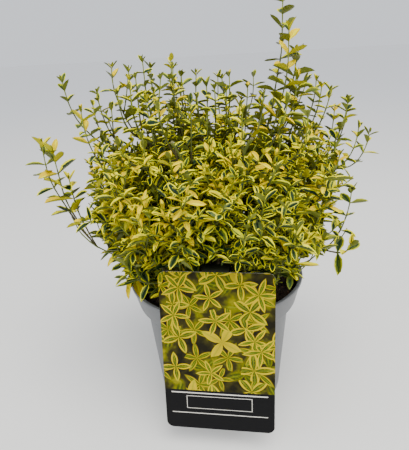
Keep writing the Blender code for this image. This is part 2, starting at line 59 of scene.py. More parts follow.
def makeCamera():
    pitch, roll, heading = (math.radians(cameraValues[key]) for key in ("pitch", "roll", "heading"))
    flat = math.cos(pitch)
    forward = Vector((math.sin(heading) * flat, math.cos(heading) * flat, -math.sin(pitch)))
    level = Vector((math.cos(heading), -math.sin(heading), 0.0))
    up = level.cross(forward)
    right = level * math.cos(roll) + up * math.sin(roll)
    top = up * math.cos(roll) - level * math.sin(roll)
    data = bpy.data.cameras.new("camera")
    data.sensor_width = cameraValues["sensor"]
    data.lens = cameraValues["focalPixels"] / cameraValues["imageHeight"] * cameraValues["sensor"]
    data.clip_start = 0.01
    camera = bpy.data.objects.new("camera", data)
    bpy.context.scene.collection.objects.link(camera)
    matrix = Matrix((right, top, -forward)).transposed().to_4x4()
    matrix.translation = cameraValues["place"]
    camera.matrix_world = matrix
    bpy.context.scene.camera = camera


lightValues = {
    "sky": (0.80, 0.83, 0.88),
    "skyStrength": 1.13,
    "sunStrength": 1.35,
    "sunAngle": 55.0,  # degrees, a very wide soft sun
    "sunPlace": (0.05, -1.45, 1.60),
    "sunColour": (1.0, 0.985, 0.95),
    "lamps": (
        # name, place, width, watts, colour; each is aimed at the middle of the crown
        ("overhead", (0.20, -0.50, 1.30), 0.8, 17.0, (1.0, 0.98, 0.94)),
        ("windowRight", (1.30, -0.70, 0.80), 0.9, 8.0, (1.0, 0.98, 0.95)),
        ("fillLeft", (-1.40, -0.60, 1.10), 0.9, 8.0, (0.93, 0.96, 1.0)),
    ),
    "aim": (0.0, 0.0, 0.15),
}


def makeLamp(name, kind, place, aim, power, colour):
    data = bpy.data.lights.new(name, kind)
    data.energy = power
    data.color = colour
    lamp = bpy.data.objects.new(name, data)
    lamp.location = place
    lamp.rotation_euler = (Vector(aim) - Vector(place)).to_track_quat("-Z", "Y").to_euler()
    bpy.context.scene.collection.objects.link(lamp)
    return data


def makeLights():
    v = lightValues
    world = bpy.data.worlds.new("sky")
    world.use_nodes = True
    backdrop = world.node_tree.nodes["Background"]
    backdrop.inputs["Color"].default_value = (*v["sky"], 1.0)
    backdrop.inputs["Strength"].default_value = v["skyStrength"]
    bpy.context.scene.world = world
    sun = makeLamp("softSun", "SUN", v["sunPlace"], (0.0, 0.0, 0.0), v["sunStrength"], v["sunColour"])
    sun.angle = math.radians(v["sunAngle"])
    for name, place, width, watts, colour in v["lamps"]:
        makeLamp(name, "AREA", place, v["aim"], watts, colour).size = width


# Shader maths: a Wire is one socket, and arithmetic on it adds Math nodes

def operator(operation, reflected=False):
    return lambda wire, *others: wire.math(operation, *others, reflected=reflected)


class Wire:
    def __init__(self, paint, socket):
        self.paint = paint
        self.socket = socket

    def math(self, operation, *others, reflected=False):
        # a Math node of this wire and then the others, or the others and then this wire
        values = (*others, self) if reflected else (self, *others)
        return self.paint.node("ShaderNodeMath", {"operation": operation}, dict(enumerate(values)))

    __add__, __radd__ = operator("ADD"), operator("ADD", True)
    __sub__, __rsub__ = operator("SUBTRACT"), operator("SUBTRACT", True)
    __mul__, __rmul__ = operator("MULTIPLY"), operator("MULTIPLY", True)
    __truediv__, __pow__, __abs__ = operator("DIVIDE"), operator("POWER"), operator("ABSOLUTE")
    __lt__, __gt__ = operator("LESS_THAN"), operator("GREATER_THAN")


class Paint:
    # a material with one Principled shader; its fixed numbers are set on the shader's own sockets
    def __init__(self, name, colour, roughness, **fixed):
        self.material = bpy.data.materials.new(name)
        self.material.use_nodes = True
        self.tree = self.material.node_tree
        self.shader = self.tree.nodes["Principled BSDF"]
        self.shader.inputs["Base Color"].default_value = (*colour, 1.0)
        self.shader.inputs["Roughness"].default_value = roughness
        for socket, value in fixed.items():
            self.shader.inputs[socket.replace("_", " ")].default_value = value
        self.material.diffuse_color = (*colour, 1.0)

    def node(self, kind, settings=None, links=None, output=0):
        # settings first, then the values or wires of the sockets
        made = self.tree.nodes.new(kind)
        for key, value in (settings or {}).items():
            if key == "stops":
                ramp = made.color_ramp
                while len(ramp.elements) < len(value):
                    ramp.elements.new(1.0)
                for element, (place, colour) in zip(ramp.elements, value):
                    element.position = place
                    element.color = (*colour, 1.0)
            else:
                setattr(made, key, value)
        for key, value in (links or {}).items():
            if isinstance(value, Wire):
                self.tree.links.new(value.socket, made.inputs[key])
            else:
                made.inputs[key].default_value = value
        return Wire(self, made.outputs[output])

    def place(self):
        return self.node("ShaderNodeTexCoord", output="Object")

    def noise(self, place, size, detail=3.0, roughness=0.5):
        links = {"Vector": place, "Scale": 1.0 / size, "Detail": detail, "Roughness": roughness}
        return self.node("ShaderNodeTexNoise", None, links, "Fac")

    def ramp(self, value, stops):
        return self.node("ShaderNodeValToRGB", {"stops": stops}, {"Fac": value}, "Color")

    def mix(self, share, first, second):
        # colours mixed by a share from 0 to 1; a plain colour has three numbers
        first = first if isinstance(first, Wire) else (*first, 1.0)
        second = second if isinstance(second, Wire) else (*second, 1.0)
        settings = {"data_type": "RGBA", "clamp_factor": True}
        return self.node("ShaderNodeMix", settings, {0: share, 6: first, 7: second}, 2)

    def feed(self, socket, wire):
        self.tree.links.new(wire.socket, self.shader.inputs[socket])

    def bump(self, height, depth, strength=1.0):
        # depth in metres is the rise for a height of 1
        links = {"Height": height, "Distance": depth, "Strength": strength}
        self.feed("Normal", self.node("ShaderNodeBump", None, links, "Normal"))

    def grain(self, size, fineness, low, span, depth, strength=1.0):
        # one noise takes the roughness from low to low + span, and gives the relief
        noise = self.noise(self.place(), size, 3.0, fineness)
        self.feed("Roughness", low + span * noise)
        self.bump(noise, depth, strength)


def grainyPaints(tones, roughness, shine, **grain):
    paints = []
    for name, colour in tones.items():
        paints.append(Paint(name, colour, roughness, Specular_IOR_Level=shine))
        paints[-1].grain(**grain)
    return paints


# Shapes as numpy arrays: each is (points, quads, triangles)

def unit(vectors):
    return vectors / np.maximum(np.linalg.norm(vectors, axis=-1, keepdims=True), 1e-9)


def ripples(points, wavelength, seed, waves=24):
    # smooth noise, mostly from -1 to 1: the sum of sines of random plane waves sin(k . p + phase)
    dice = np.random.default_rng(seed)
    directions = unit(dice.normal(size=(waves, 3)))
    lengths = wavelength * dice.uniform(0.6, 1.7, waves)
    phases = dice.uniform(0.0, tau, waves)
    return np.sin(points @ (directions * (tau / lengths)[:, None]).T + phases).sum(axis=-1) / math.sqrt(waves)


def drift(points, wavelength, seed):
    # three ripples with seeds that follow each other, as x, y and z
    return np.stack([ripples(points, wavelength, seed + k) for k in range(3)], axis=-1)


def closeGrid(grid, first, last):
    # rings of points, joined by quads and closed by a fan from each end point; rows run so that
    # the ring's direction crossed with the row's direction points outwards
    rows, columns = grid.shape[:2]
    row, column = np.meshgrid(np.arange(rows - 1) * columns, np.arange(columns), indexing="ij")
    following = (column + 1) % columns
    beyond = row + columns
    quads = np.stack([row + column, row + following, beyond + following, beyond + column], axis=-1)
    around = np.arange(columns)
    after = (around + 1) % columns
    low = np.stack([after, around, np.full(columns, rows * columns)], axis=-1)
    base = (rows - 1) * columns
    high = np.stack([base + around, base + after, np.full(columns, rows * columns + 1)], axis=-1)
    points = np.concatenate([grid.reshape(-1, 3), [first], [last]])
    return points, quads.reshape(-1, 4), np.concatenate([low, high])


def turned(profile, segments):
    # x = r cos a, y = r sin a, z = h along a profile of (r, h) that starts and ends on the axis
    angle = tau * np.arange(segments) / segments
    radius, height = profile[1:-1, 0], profile[1:-1, 1]
    ring = np.stack([np.cos(angle), np.sin(angle), np.zeros(segments)], axis=-1)
    grid = radius[:, None, None] * ring + height[:, None, None] * np.array([0.0, 0.0, 1.0])
    return closeGrid(grid, (0.0, 0.0, profile[0, 1]), (0.0, 0.0, profile[-1, 1]))


def rounded(corners, steps=5):
    # a profile through (r, h, fillet) corners, each corner rounded by a quadratic curve between
    # the points that lie one fillet before and after it
    corners = np.array(corners)
    path = [corners[:1, :2]]
    share = np.linspace(0.0, 1.0, steps)[:, None]
    for before, here, after in zip(corners, corners[1:], corners[2:]):
        start = here[:2] + unit(before[:2] - here[:2]) * here[2]
        end = here[:2] + unit(after[:2] - here[:2]) * here[2]
        path.append(start * (1 - share) ** 2 + here[:2] * 2 * share * (1 - share) + end * share ** 2)
    path.append(corners[-1:, :2])
    return np.concatenate(path)


def transport(path):
    # directions along a path, and two directions square to it that don't twist
    along = unit(np.gradient(path, axis=0))
    side = np.zeros_like(path)
    helper = np.array([1.0, 0.0, 0.0]) if abs(along[0, 0]) < 0.8 else np.array([0.0, 1.0, 0.0])
    current = helper
    for index, direction in enumerate(along):
        current = current - direction * current.dot(direction)
        current = current / np.linalg.norm(current)
        side[index] = current
    return along, side, np.cross(along, side)


def travel(path):
    # the distance along a path at each of its points
    return np.concatenate([[0.0], np.cumsum(np.linalg.norm(np.diff(path, axis=0), axis=1))])


def sample(values, distance, spots):
    # a path's points or directions, read at some distances along it
    return np.stack([np.interp(spots, distance, values[:, k]) for k in range(3)], axis=-1)


def tube(path, radii, sides, relief=None):
    # p(s, a) = c(s) + r(s) (1 + relief(s, a)) (cos a side(s) + sin a across(s)), closed by points
    # that lie some radii past its ends
    startCap, endCap = 0.5, 0.7
    along, side, across = transport(path)
    angle = tau * np.arange(sides) / sides
    ring = np.cos(angle)[None, :, None] * side[:, None] + np.sin(angle)[None, :, None] * across[:, None]
    size = np.broadcast_to(np.asarray(radii)[:, None], ring.shape[:2])
    if relief is not None:
        size = size * (1.0 + relief(path[:, None] + ring * size[..., None]))
    first = path[0] - along[0] * radii[0] * startCap
    last = path[-1] + along[-1] * radii[-1] * endCap
    return closeGrid(path[:, None] + ring * size[..., None], first, last)


def joined(shapes):
    starts = np.cumsum([0] + [len(shape[0]) for shape in shapes[:-1]])
    points = np.concatenate([shape[0] for shape in shapes])
    quads = np.concatenate([shape[1] + start for shape, start in zip(shapes, starts)])
    triangles = np.concatenate([shape[2] + start for shape, start in zip(shapes, starts)])
    return points, quads, triangles


def makePiece(name, shape, paints, quadSlots=0, triangleSlots=0, sharpAngle=None, smooth=True):
    points, quads, triangles = shape
    mesh = bpy.data.meshes.new(name)
    mesh.vertices.add(len(points))
    mesh.vertices.foreach_set("co", np.asarray(points, np.float32).ravel())
    corners = np.concatenate([quads.ravel(), triangles.ravel()]).astype(np.int32)
    mesh.loops.add(len(corners))
    mesh.loops.foreach_set("vertex_index", corners)
    counts = np.concatenate([np.full(len(quads), 4), np.full(len(triangles), 3)])
    mesh.polygons.add(len(counts))
    mesh.polygons.foreach_set("loop_start", np.concatenate([[0], np.cumsum(counts)[:-1]]).astype(np.int32))
    slots = [np.broadcast_to(quadSlots, len(quads)), np.broadcast_to(triangleSlots, len(triangles))]
    mesh.polygons.foreach_set("material_index", np.concatenate(slots).astype(np.int32))
    mesh.update(calc_edges=True)
    mesh.validate()
    for paint in paints:
        mesh.materials.append(paint.material)
    if smooth:
        mesh.shade_smooth()
        if sharpAngle is not None:
            mesh.set_sharp_from_angle(angle=math.radians(sharpAngle))
    else:
        mesh.shade_flat()
    piece = bpy.data.objects.new(name, mesh)
    bpy.context.scene.collection.objects.link(piece)
    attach(piece, "root")
    return piece


floorValues = {
    "tones": ((0.705, 0.698, 0.672), (0.735, 0.728, 0.702)),
    "toneSize": 0.5,
    # painted shade: the far tone, a little darker and bluer, stands in for the light falling off across the
    # floor
    "farShadeTone": (0.697, 0.704, 0.718),
    "fadeStart": 0.3,  # metres from the plant
    "fadeRun": 2.0,
    "reach": 12.0,
}


def makeFloor():
    v = floorValues
    paint = Paint("floorPaint", (0.80, 0.79, 0.77), 0.6)
    place = paint.place()
    near = paint.mix(paint.noise(place, v["toneSize"]), *v["tones"])
    # painted shade: the tone fades to the darker, bluer far one with the distance from the plant, by (r -
    # start) / run, for the light that falls off away from the lamps
    far = paint.node("ShaderNodeVectorMath", {"operation": "LENGTH"}, {0: place}, "Value")
    paint.feed("Base Color", paint.mix((far - v["fadeStart"]) / v["fadeRun"], near, v["farShadeTone"]))
    mesh = bpy.data.meshes.new("floor")
    corners = [(x * v["reach"], y * v["reach"], 0) for x, y in ((-1, -1), (1, -1), (1, 1), (-1, 1))]
    mesh.from_pydata(corners, [], [(0, 1, 2, 3)])
    mesh.materials.append(paint.material)
    floor = bpy.data.objects.new("floor", mesh)
    bpy.context.scene.collection.objects.link(floor)


makeCamera()
makeLights()
makeFloor()
print("camera, lights and floor made")


# Pot: a grey nursery pot with a sloping shoulder, a deep rim band and a small lip

potValues = {
    "baseRadius": 0.0513,
    "bodyTopRadius": 0.0584,
    "shoulderLow": 0.0835,
    "bandLow": 0.0865,
    "bandLowRadius": 0.0641,
    "lipLow": 0.1030,
    "bandTopRadius": 0.0680,
    "lipRadius": 0.0690,
    "rimHeight": 0.1055,
    "rimInnerRadius": 0.0664,
    "wall": 0.0013,
    "floor": 0.0016,
    "drainHoles": 8,
    "drainRadius": 0.0040,
    "drainCircle": 0.0380,
    "segments": 144,
    "colour": (0.128, 0.132, 0.137),
    "dusty": (0.93, 1.05),  # the colour's shares where the dust is thin and thick
    "scuffColour": (0.185, 0.186, 0.184),
}


def innerWall(height):
    # the pot's inner radius, straight between the floor, the shoulder, the band and the rim
    v = potValues
    heights = (0.0, v["shoulderLow"], v["bandLow"], v["rimHeight"])
    radii = (v["baseRadius"] - v["wall"], v["bodyTopRadius"] - v["wall"],
             v["bandLowRadius"] - v["wall"], v["rimInnerRadius"])
    return np.interp(height, heights, radii)


def makePot():
    v = potValues
    # corners of the profile as (radius, height, fillet)
    outer = [
        (0.0, 0.0, 0.0),
        (v["baseRadius"], 0.0, 0.0016),
        (v["bodyTopRadius"], v["shoulderLow"], 0.0016),
        (v["bandLowRadius"], v["bandLow"], 0.0012),
        (v["bandTopRadius"], v["lipLow"], 0.0003),
        (v["lipRadius"], v["lipLow"] + 0.0005, 0.0003),
        (v["lipRadius"], v["rimHeight"], 0.0006),
        (v["rimInnerRadius"], v["rimHeight"], 0.0006),
    ]
    inner = [(innerWall(height), height, 0.0010) for height in (v["bandLow"], v["shoulderLow"])]
    inner += [(innerWall(v["floor"]), v["floor"], 0.0020), (0.0, v["floor"], 0.0)]
    paint = Paint("potPaint", v["colour"], 0.42, Specular_IOR_Level=0.35)
    place = paint.place()
    dust = paint.noise(place, 0.030, 5.0, 0.6)
    scuff = paint.noise(place, 0.0045, 4.0, 0.7)
    tone = paint.mix(dust, *(tuple(c * share for c in v["colour"]) for share in v["dusty"]))
    paint.feed("Base Color", paint.mix((scuff > 0.66) * 0.35, tone, v["scuffColour"]))
    paint.feed("Roughness", 0.36 + 0.16 * dust)
    paint.bump(paint.noise(place, 0.0006, 2.0) + 0.6 * paint.noise(place, 0.006, 2.0), 0.00006, 0.6)
    pot = makePiece("pot_shell", turned(rounded(outer + inner), v["segments"]), [paint])
    angle = (np.arange(v["drainHoles"]) + 0.5) * tau / v["drainHoles"]
    holes = []
    for x, y in zip(v["drainCircle"] * np.cos(angle), v["drainCircle"] * np.sin(angle)):
        path = np.array([(x, y, -2 * v["floor"]), (x, y, 0.5 * v["floor"]), (x, y, 3 * v["floor"])])
        holes.append(tube(path, (v["drainRadius"],) * 3, 24))
    drill = makePiece("drill", joined(holes), [paint])
    cut = pot.modifiers.new("drain", "BOOLEAN")
    cut.operation = "DIFFERENCE"
    cut.object = drill
    bpy.context.view_layer.update()
    shape = bpy.data.meshes.new_from_object(pot.evaluated_get(bpy.context.evaluated_depsgraph_get()))
    pot.modifiers.clear()
    pot.data = shape
    pot.data.set_sharp_from_angle(angle=math.radians(50))
    bpy.data.objects.remove(drill)
    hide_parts("pot")


makePot()
print("pot made")


# Potting soil: a lumpy closed body, and loose crumbs, bark bits and pale grains on it

soilValues = {
    "edgeHeight": 0.0955,
    "middleHeight": 0.0980,
    "sideDrop": 0.004,  # the side along the wall ends this far under the edge
    "gap": 0.0003,
    "segments": 150,
    "rings": 44,
    "lump": 0.0011,
    "crumbs": 1500,
    "fibres": 170,
    "grains": 46,
    "wallGap": 0.0020,  # between the crumbs and the pot's wall
    "crumbSize": (0.0006, 0.0022),
    "fibreStretch": (3.2, 0.7, 0.5),
    "fibreSize": 0.8,  # times a crumb's size
    "grainSize": 0.55,
    "crumbOdds": (0.34, 0.36, 0.22, 0.08),  # of the first four tones
    "fibreOdds": (0.0, 0.3, 0.4, 0.3),
}


def soilHeight(x, y):
    # a low dome from the middle to the edge, plus lumps of three sizes that fade out at the wall
    v = soilValues
    radius = np.hypot(x, y)
    share = np.clip(radius / innerWall(v["edgeHeight"]), 0.0, 1.0)
    flat = np.stack([x, y, np.zeros_like(x)], axis=-1)
    lumps = ripples(flat, 0.016, 21) + 0.55 * ripples(flat, 0.006, 22) + 0.3 * ripples(flat, 0.0025, 23)
    dome = v["middleHeight"] + (v["edgeHeight"] - v["middleHeight"]) * share ** 2
    return dome + v["lump"] * lumps * np.clip((1.0 - share) * 12.0, 0.25, 1.0)


def makeSoil():
    v = soilValues
    angle = tau * np.arange(v["segments"]) / v["segments"]
    low = potValues["floor"] + v["gap"]
    sideTop = v["edgeHeight"] - v["sideDrop"]
    sideHeights = np.array([low, potValues["shoulderLow"], potValues["bandLow"], sideTop])
    sideRadii = innerWall(sideHeights) - v["gap"]
    side = np.stack([sideRadii[:, None] * np.cos(angle), sideRadii[:, None] * np.sin(angle),
                     np.broadcast_to(sideHeights[:, None], (len(sideHeights), v["segments"]))], axis=-1)
    edge = innerWall(v["edgeHeight"]) - v["gap"]
    topRadii = edge * (1.0 - np.arange(v["rings"]) / v["rings"])
    x = topRadii[:, None] * np.cos(angle)
    y = topRadii[:, None] * np.sin(angle)
    top = np.stack([x, y, soilHeight(x, y)], axis=-1)
    middle = float(soilHeight(np.zeros(1), np.zeros(1))[0])
    paint = Paint("soilPaint", (0.022, 0.014, 0.009), 0.95, Specular_IOR_Level=0.25)
    place = paint.place()
    clods = paint.noise(place, 0.0035, 6.0, 0.7)
    grit = paint.noise(place, 0.0011, 3.0, 0.7)
    tone = paint.ramp(clods, [(0.30, (0.006, 0.004, 0.003)), (0.52, (0.022, 0.014, 0.009)),
                              (0.68, (0.050, 0.030, 0.018)), (0.80, (0.085, 0.055, 0.032))])
    paint.feed("Base Color", paint.mix((grit > 0.63) * 0.5, tone, (0.10, 0.066, 0.040)))
    paint.feed("Roughness", 0.86 + 0.12 * clods)
    paint.bump(clods + 0.5 * grit, 0.0009)
    shape = closeGrid(np.concatenate([side, top]), (0, 0, low), (0, 0, middle))
    soil = makePiece("potting_soil", shape, [paint])
    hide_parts("root_ball")


def lumpShapes(places, sizes, stretch, seed, push=(0.68, 1.12)):
    # an icosahedron for each place: corners p = c + T (s_i e_i) with each corner pushed in or out,
    # stretched along three random square axes
    dice = np.random.default_rng(seed)
    golden = (1 + math.sqrt(5)) / 2
    flat = [(0, i, j * golden) for i in (-1, 1) for j in (-1, 1)]
    base = unit(np.array([p[k:] + p[:k] for p in flat for k in range(3)], float))
    near = np.linalg.norm(base[:, None] - base, axis=-1)
    touching = (near > 0.1) & (near < 1.2)
    faces = [f for f in combinations(range(12), 3) if all(touching[pair] for pair in combinations(f, 2))]
    # corners in the order that faces outwards
    faces = np.array([f if np.linalg.det(base[list(f)]) > 0 else f[::-1] for f in faces])
    count = len(places)
    pushed = base[None] * dice.uniform(*push, (count, 12, 1)) * sizes[:, None, None] * stretch[:, None]
    turns = np.linalg.qr(dice.normal(size=(count, 3, 3)))[0]
    turns[np.linalg.det(turns) < 0, :, 0] *= -1
    points = places[:, None] + pushed @ turns
    triangles = faces[None] + (np.arange(count) * 12)[:, None, None]
    return points.reshape(-1, 3), np.zeros((0, 4), int), triangles.reshape(-1, 3)


crumbTones = {
    "crumbBlack": (0.010, 0.007, 0.005),
    "crumbDark": (0.026, 0.016, 0.010),
    "crumbBrown": (0.060, 0.034, 0.020),
    "crumbRust": (0.110, 0.058, 0.030),
    "crumbPale": (0.42, 0.37, 0.28),
}


def makeCrumbs():
    v = soilValues
    dice = np.random.default_rng(31)
    count = v["crumbs"] + v["fibres"] + v["grains"]
    radius = (innerWall(v["edgeHeight"]) - v["wallGap"]) * np.sqrt(dice.uniform(0.03, 1.0, count))
    angle = dice.uniform(0.0, tau, count)
    x, y = radius * np.cos(angle), radius * np.sin(angle)
    sizes = dice.uniform(*v["crumbSize"], count) * dice.uniform(0.5, 1.0, count)
    places = np.stack([x, y, soilHeight(x, y) + sizes * 0.25], axis=-1)
    stretch = dice.uniform(0.65, 1.25, (count, 3))
    fibre = slice(v["crumbs"], v["crumbs"] + v["fibres"])
    stretch[fibre] = np.array(v["fibreStretch"]) * dice.uniform(0.7, 1.2, (v["fibres"], 3))
    sizes[fibre] *= v["fibreSize"]
    sizes[fibre.stop:] *= v["grainSize"]
    tones = dice.choice(4, count, p=v["crumbOdds"])
    tones[fibre] = dice.choice(4, v["fibres"], p=v["fibreOdds"])
    tones[fibre.stop:] = 4
    paints = grainyPaints(crumbTones, 0.93, 0.25, size=0.0006, fineness=0.7, low=0.84, span=0.14,
                          depth=0.0002)
    shape = lumpShapes(places, sizes, stretch, 32)
    slots = np.repeat(tones, len(shape[2]) // count)
    crumbs = makePiece("soil_crumbs", shape, paints, 0, slots, smooth=False)


makeSoil()
makeCrumbs()
print("soil made")


# Picture label: a rounded card that leans on the rim, with a strap down into the soil. Its front
# has a generic print of two-toned rosettes over a dark ground, and a bare dark band with pale rules.

labelValues = {
    "width": 0.0777,
    "height": 0.1212,
    "thick": 0.0008,
    "corner": 0.0050,
    "middleX": -0.0030,
    "middleZ": 0.0790,
    "yaw": -9.2,  # degrees
    "lean": 6.9,
    "gap": 0.0003,
    "edgeRound": 0.00012,
    "outlinePoints": 48,
    "strapWidth": 0.0180,
    "strapReach": 0.0120,
    "strapDrop": 0.0480,
    "strapThick": 0.6,  # share of the card's thickness
    "bandShare": 0.262,  # of the card's height, the bare dark band at its foot
    "bandColour": (0.006, 0.006, 0.0065),
    "rules": ((0.0022, 0.00045), (0.0188, 0.00030)),  # under the band's top, half thickness
    "ruleReach": 0.44,  # share of the card's width to each side
    "plate": (0.0098, 0.0052, 0.30),  # the same and its reach, for an open frame
    "plateLine": 0.0004,
    "ruleColour": (0.62, 0.60, 0.54),
}


def cardPlace():
    # x along the card's width, y into the plant, z up the card, the origin at its middle. The card's
    # back lies against the lip of the rim.
    v = labelValues
    lean = math.radians(v["lean"])
    turn = Matrix.Rotation(math.radians(v["yaw"]), 3, "Z") @ Matrix.Rotation(-lean, 3, "X")
    back = turn @ Vector((0, 1, 0))
    level = Vector((back.x, back.y, 0)).normalized()
    behind = potValues["lipRadius"] + v["gap"] + v["thick"] / 2 / math.cos(lean)
    middle = -level * behind + Vector((0, 0, potValues["rimHeight"]))
    middle += turn @ Vector((0, 0, -1)) * ((potValues["rimHeight"] - v["middleZ"]) / math.cos(lean))
    along = turn @ Vector((1, 0, 0))
    middle += along * ((v["middleX"] - middle.x) / along.x)
    return turn, middle


cardTurn, cardMiddle = cardPlace()
cardAxes = np.array(cardTurn)
cardOrigin = np.array(cardMiddle)


def fromCard(points):
    # a point (x, y, z) of the card's frame, in the plant's frame
    return points @ cardAxes.T + cardOrigin


def rosette(paint, x, z, cell, shift, blades, radius, slim):
    # pointed blades round the middle of each Voronoi cell: r < R (1 - t)^slim, with t from 0 on a
    # blade's own line to 1 between two blades, and R from 0.75 to 1.25 of the radius by the cell's
    # random number. Gives r over that limit, over 1 outside, r over the limit of the blade's heart,
    # 0.86 R (1 - 1.75 t)^slim, then t and the cell's random number
    tiny = 0.0002  # keeps the limits above zero
    centred = paint.node("ShaderNodeCombineXYZ", None, {0: x + shift, 1: z + shift * 0.6, 2: 0.0})
    settings = {"voronoi_dimensions": "2D", "feature": "F1"}
    cells = paint.node("ShaderNodeTexVoronoi", settings,
                       {"Vector": centred, "Scale": 1.0 / cell, "Randomness": 0.75}, "Position")
    colour = Wire(paint, cells.socket.node.outputs["Color"])
    chance = paint.node("ShaderNodeSeparateColor", None, {0: colour})
    away = paint.node("ShaderNodeVectorMath", {"operation": "SUBTRACT"}, {0: centred, 1: cells})
    dx = paint.node("ShaderNodeSeparateXYZ", None, {0: away})
    dz = Wire(paint, dx.socket.node.outputs[1])
    far = (dx * dx + dz * dz).math("SQRT")
    turn = (dz.math("ARCTAN2", dx) / tau + chance) * blades
    line = abs(turn.math("FRACT") - 0.5) * 2.0
    size = radius * (0.75 + 0.5 * chance)
    ratio = far / (size * ((1.0 - line) ** slim) + tiny)
    inner = (1.0 - 1.75 * line).math("MAXIMUM", 0.0)
    heart = far / (size * 0.86 * (inner ** slim) + tiny)
    return ratio, heart, line, chance


def labelPaint():
    v = labelValues
    paint = Paint("labelPrint", (0.40, 0.35, 0.01), 0.45, Specular_IOR_Level=0.06)
    settings = {"vector_type": "TEXTURE"}
    links = {"Vector": paint.place(), "Location": tuple(cardMiddle), "Rotation": tuple(cardTurn.to_euler())}
    flat = paint.node("ShaderNodeMapping", settings, links)
    x = paint.node("ShaderNodeSeparateXYZ", None, {0: flat})
    z = Wire(paint, x.socket.node.outputs[2])
    ground = paint.noise(flat, 0.016, 3.0, 0.55)
    colour = paint.ramp(ground, [(0.40, (0.010, 0.009, 0.004)), (0.52, (0.032, 0.028, 0.005)),
                                 (0.60, (0.10, 0.10, 0.004)), (0.72, (0.30, 0.26, 0.002))])
    layers = (
        # cell, shift, blades, radius, slimness, edge colour, heart colour, width of the soft edge
        (0.024, 0.113, 3, 0.0150, 0.90, (0.13, 0.13, 0.002), (0.016, 0.034, 0.004), 0.50),
        (0.020, 0.241, 5, 0.0135, 0.95, (0.38, 0.28, 0.000), (0.020, 0.060, 0.006), 0.22),
        (0.023, 0.377, 4, 0.0150, 1.00, (0.50, 0.37, 0.000), (0.010, 0.040, 0.008), 0.08),
        (0.027, 0.522, 5, 0.0130, 1.05, (0.54, 0.38, 0.000), (0.020, 0.075, 0.008), 0.06),
    )
    fleck = paint.noise(flat, 0.0022, 3.0, 0.6)
    for cell, shift, blades, radius, slim, edge, green, soft in layers:
        ratio, heart, line, chance = rosette(paint, x, z, cell, shift, blades, radius, slim)
        inside = ((1.0 - ratio) / soft).math("MINIMUM", 1.0).math("MAXIMUM", 0.0)
        # a green heart in two of three rosettes, pale flecks, fine midribs, dimmer towards the middle
        blade = paint.mix((heart < 1.0) * (chance < 0.66) * (0.70 + 0.30 * (fleck > 0.42)), edge, green)
        blade = paint.mix((fleck - 0.45) * 0.8, blade, (0.54, 0.47, 0.005))
        blade = paint.mix((line < 0.07) * 0.5, blade, (0.26, 0.29, 0.01))
        blade = paint.mix((1.0 - ratio) * 0.45, blade, (0.07, 0.09, 0.003))
        colour = paint.mix(inside * (chance < 0.74), colour, blade)
    bandTop = v["height"] * (v["bandShare"] - 0.5)
    colour = paint.mix(z < bandTop, colour, v["bandColour"])
    for drop, half in v["rules"]:
        rule = (abs(z - (bandTop - drop)) < half) * (abs(x) < v["width"] * v["ruleReach"])
        colour = paint.mix(rule, colour, v["ruleColour"])
    drop, half, reach = v["plate"]
    level, beside, thin = abs(z - (bandTop - drop)), abs(x), v["plateLine"]
    plate = (level < half) * (beside < v["width"] * reach)
    hollow = (level < half - thin) * (beside < v["width"] * reach - thin)
    colour = paint.mix(plate * (1.0 - hollow), colour, v["ruleColour"])
    paint.feed("Base Color", colour)
    paint.feed("Roughness", 0.36 + 0.10 * paint.noise(flat, 0.02, 4.0, 0.6))
    paint.bump(paint.noise(flat, 0.012, 2.0), 0.00012, 0.5)
    return paint


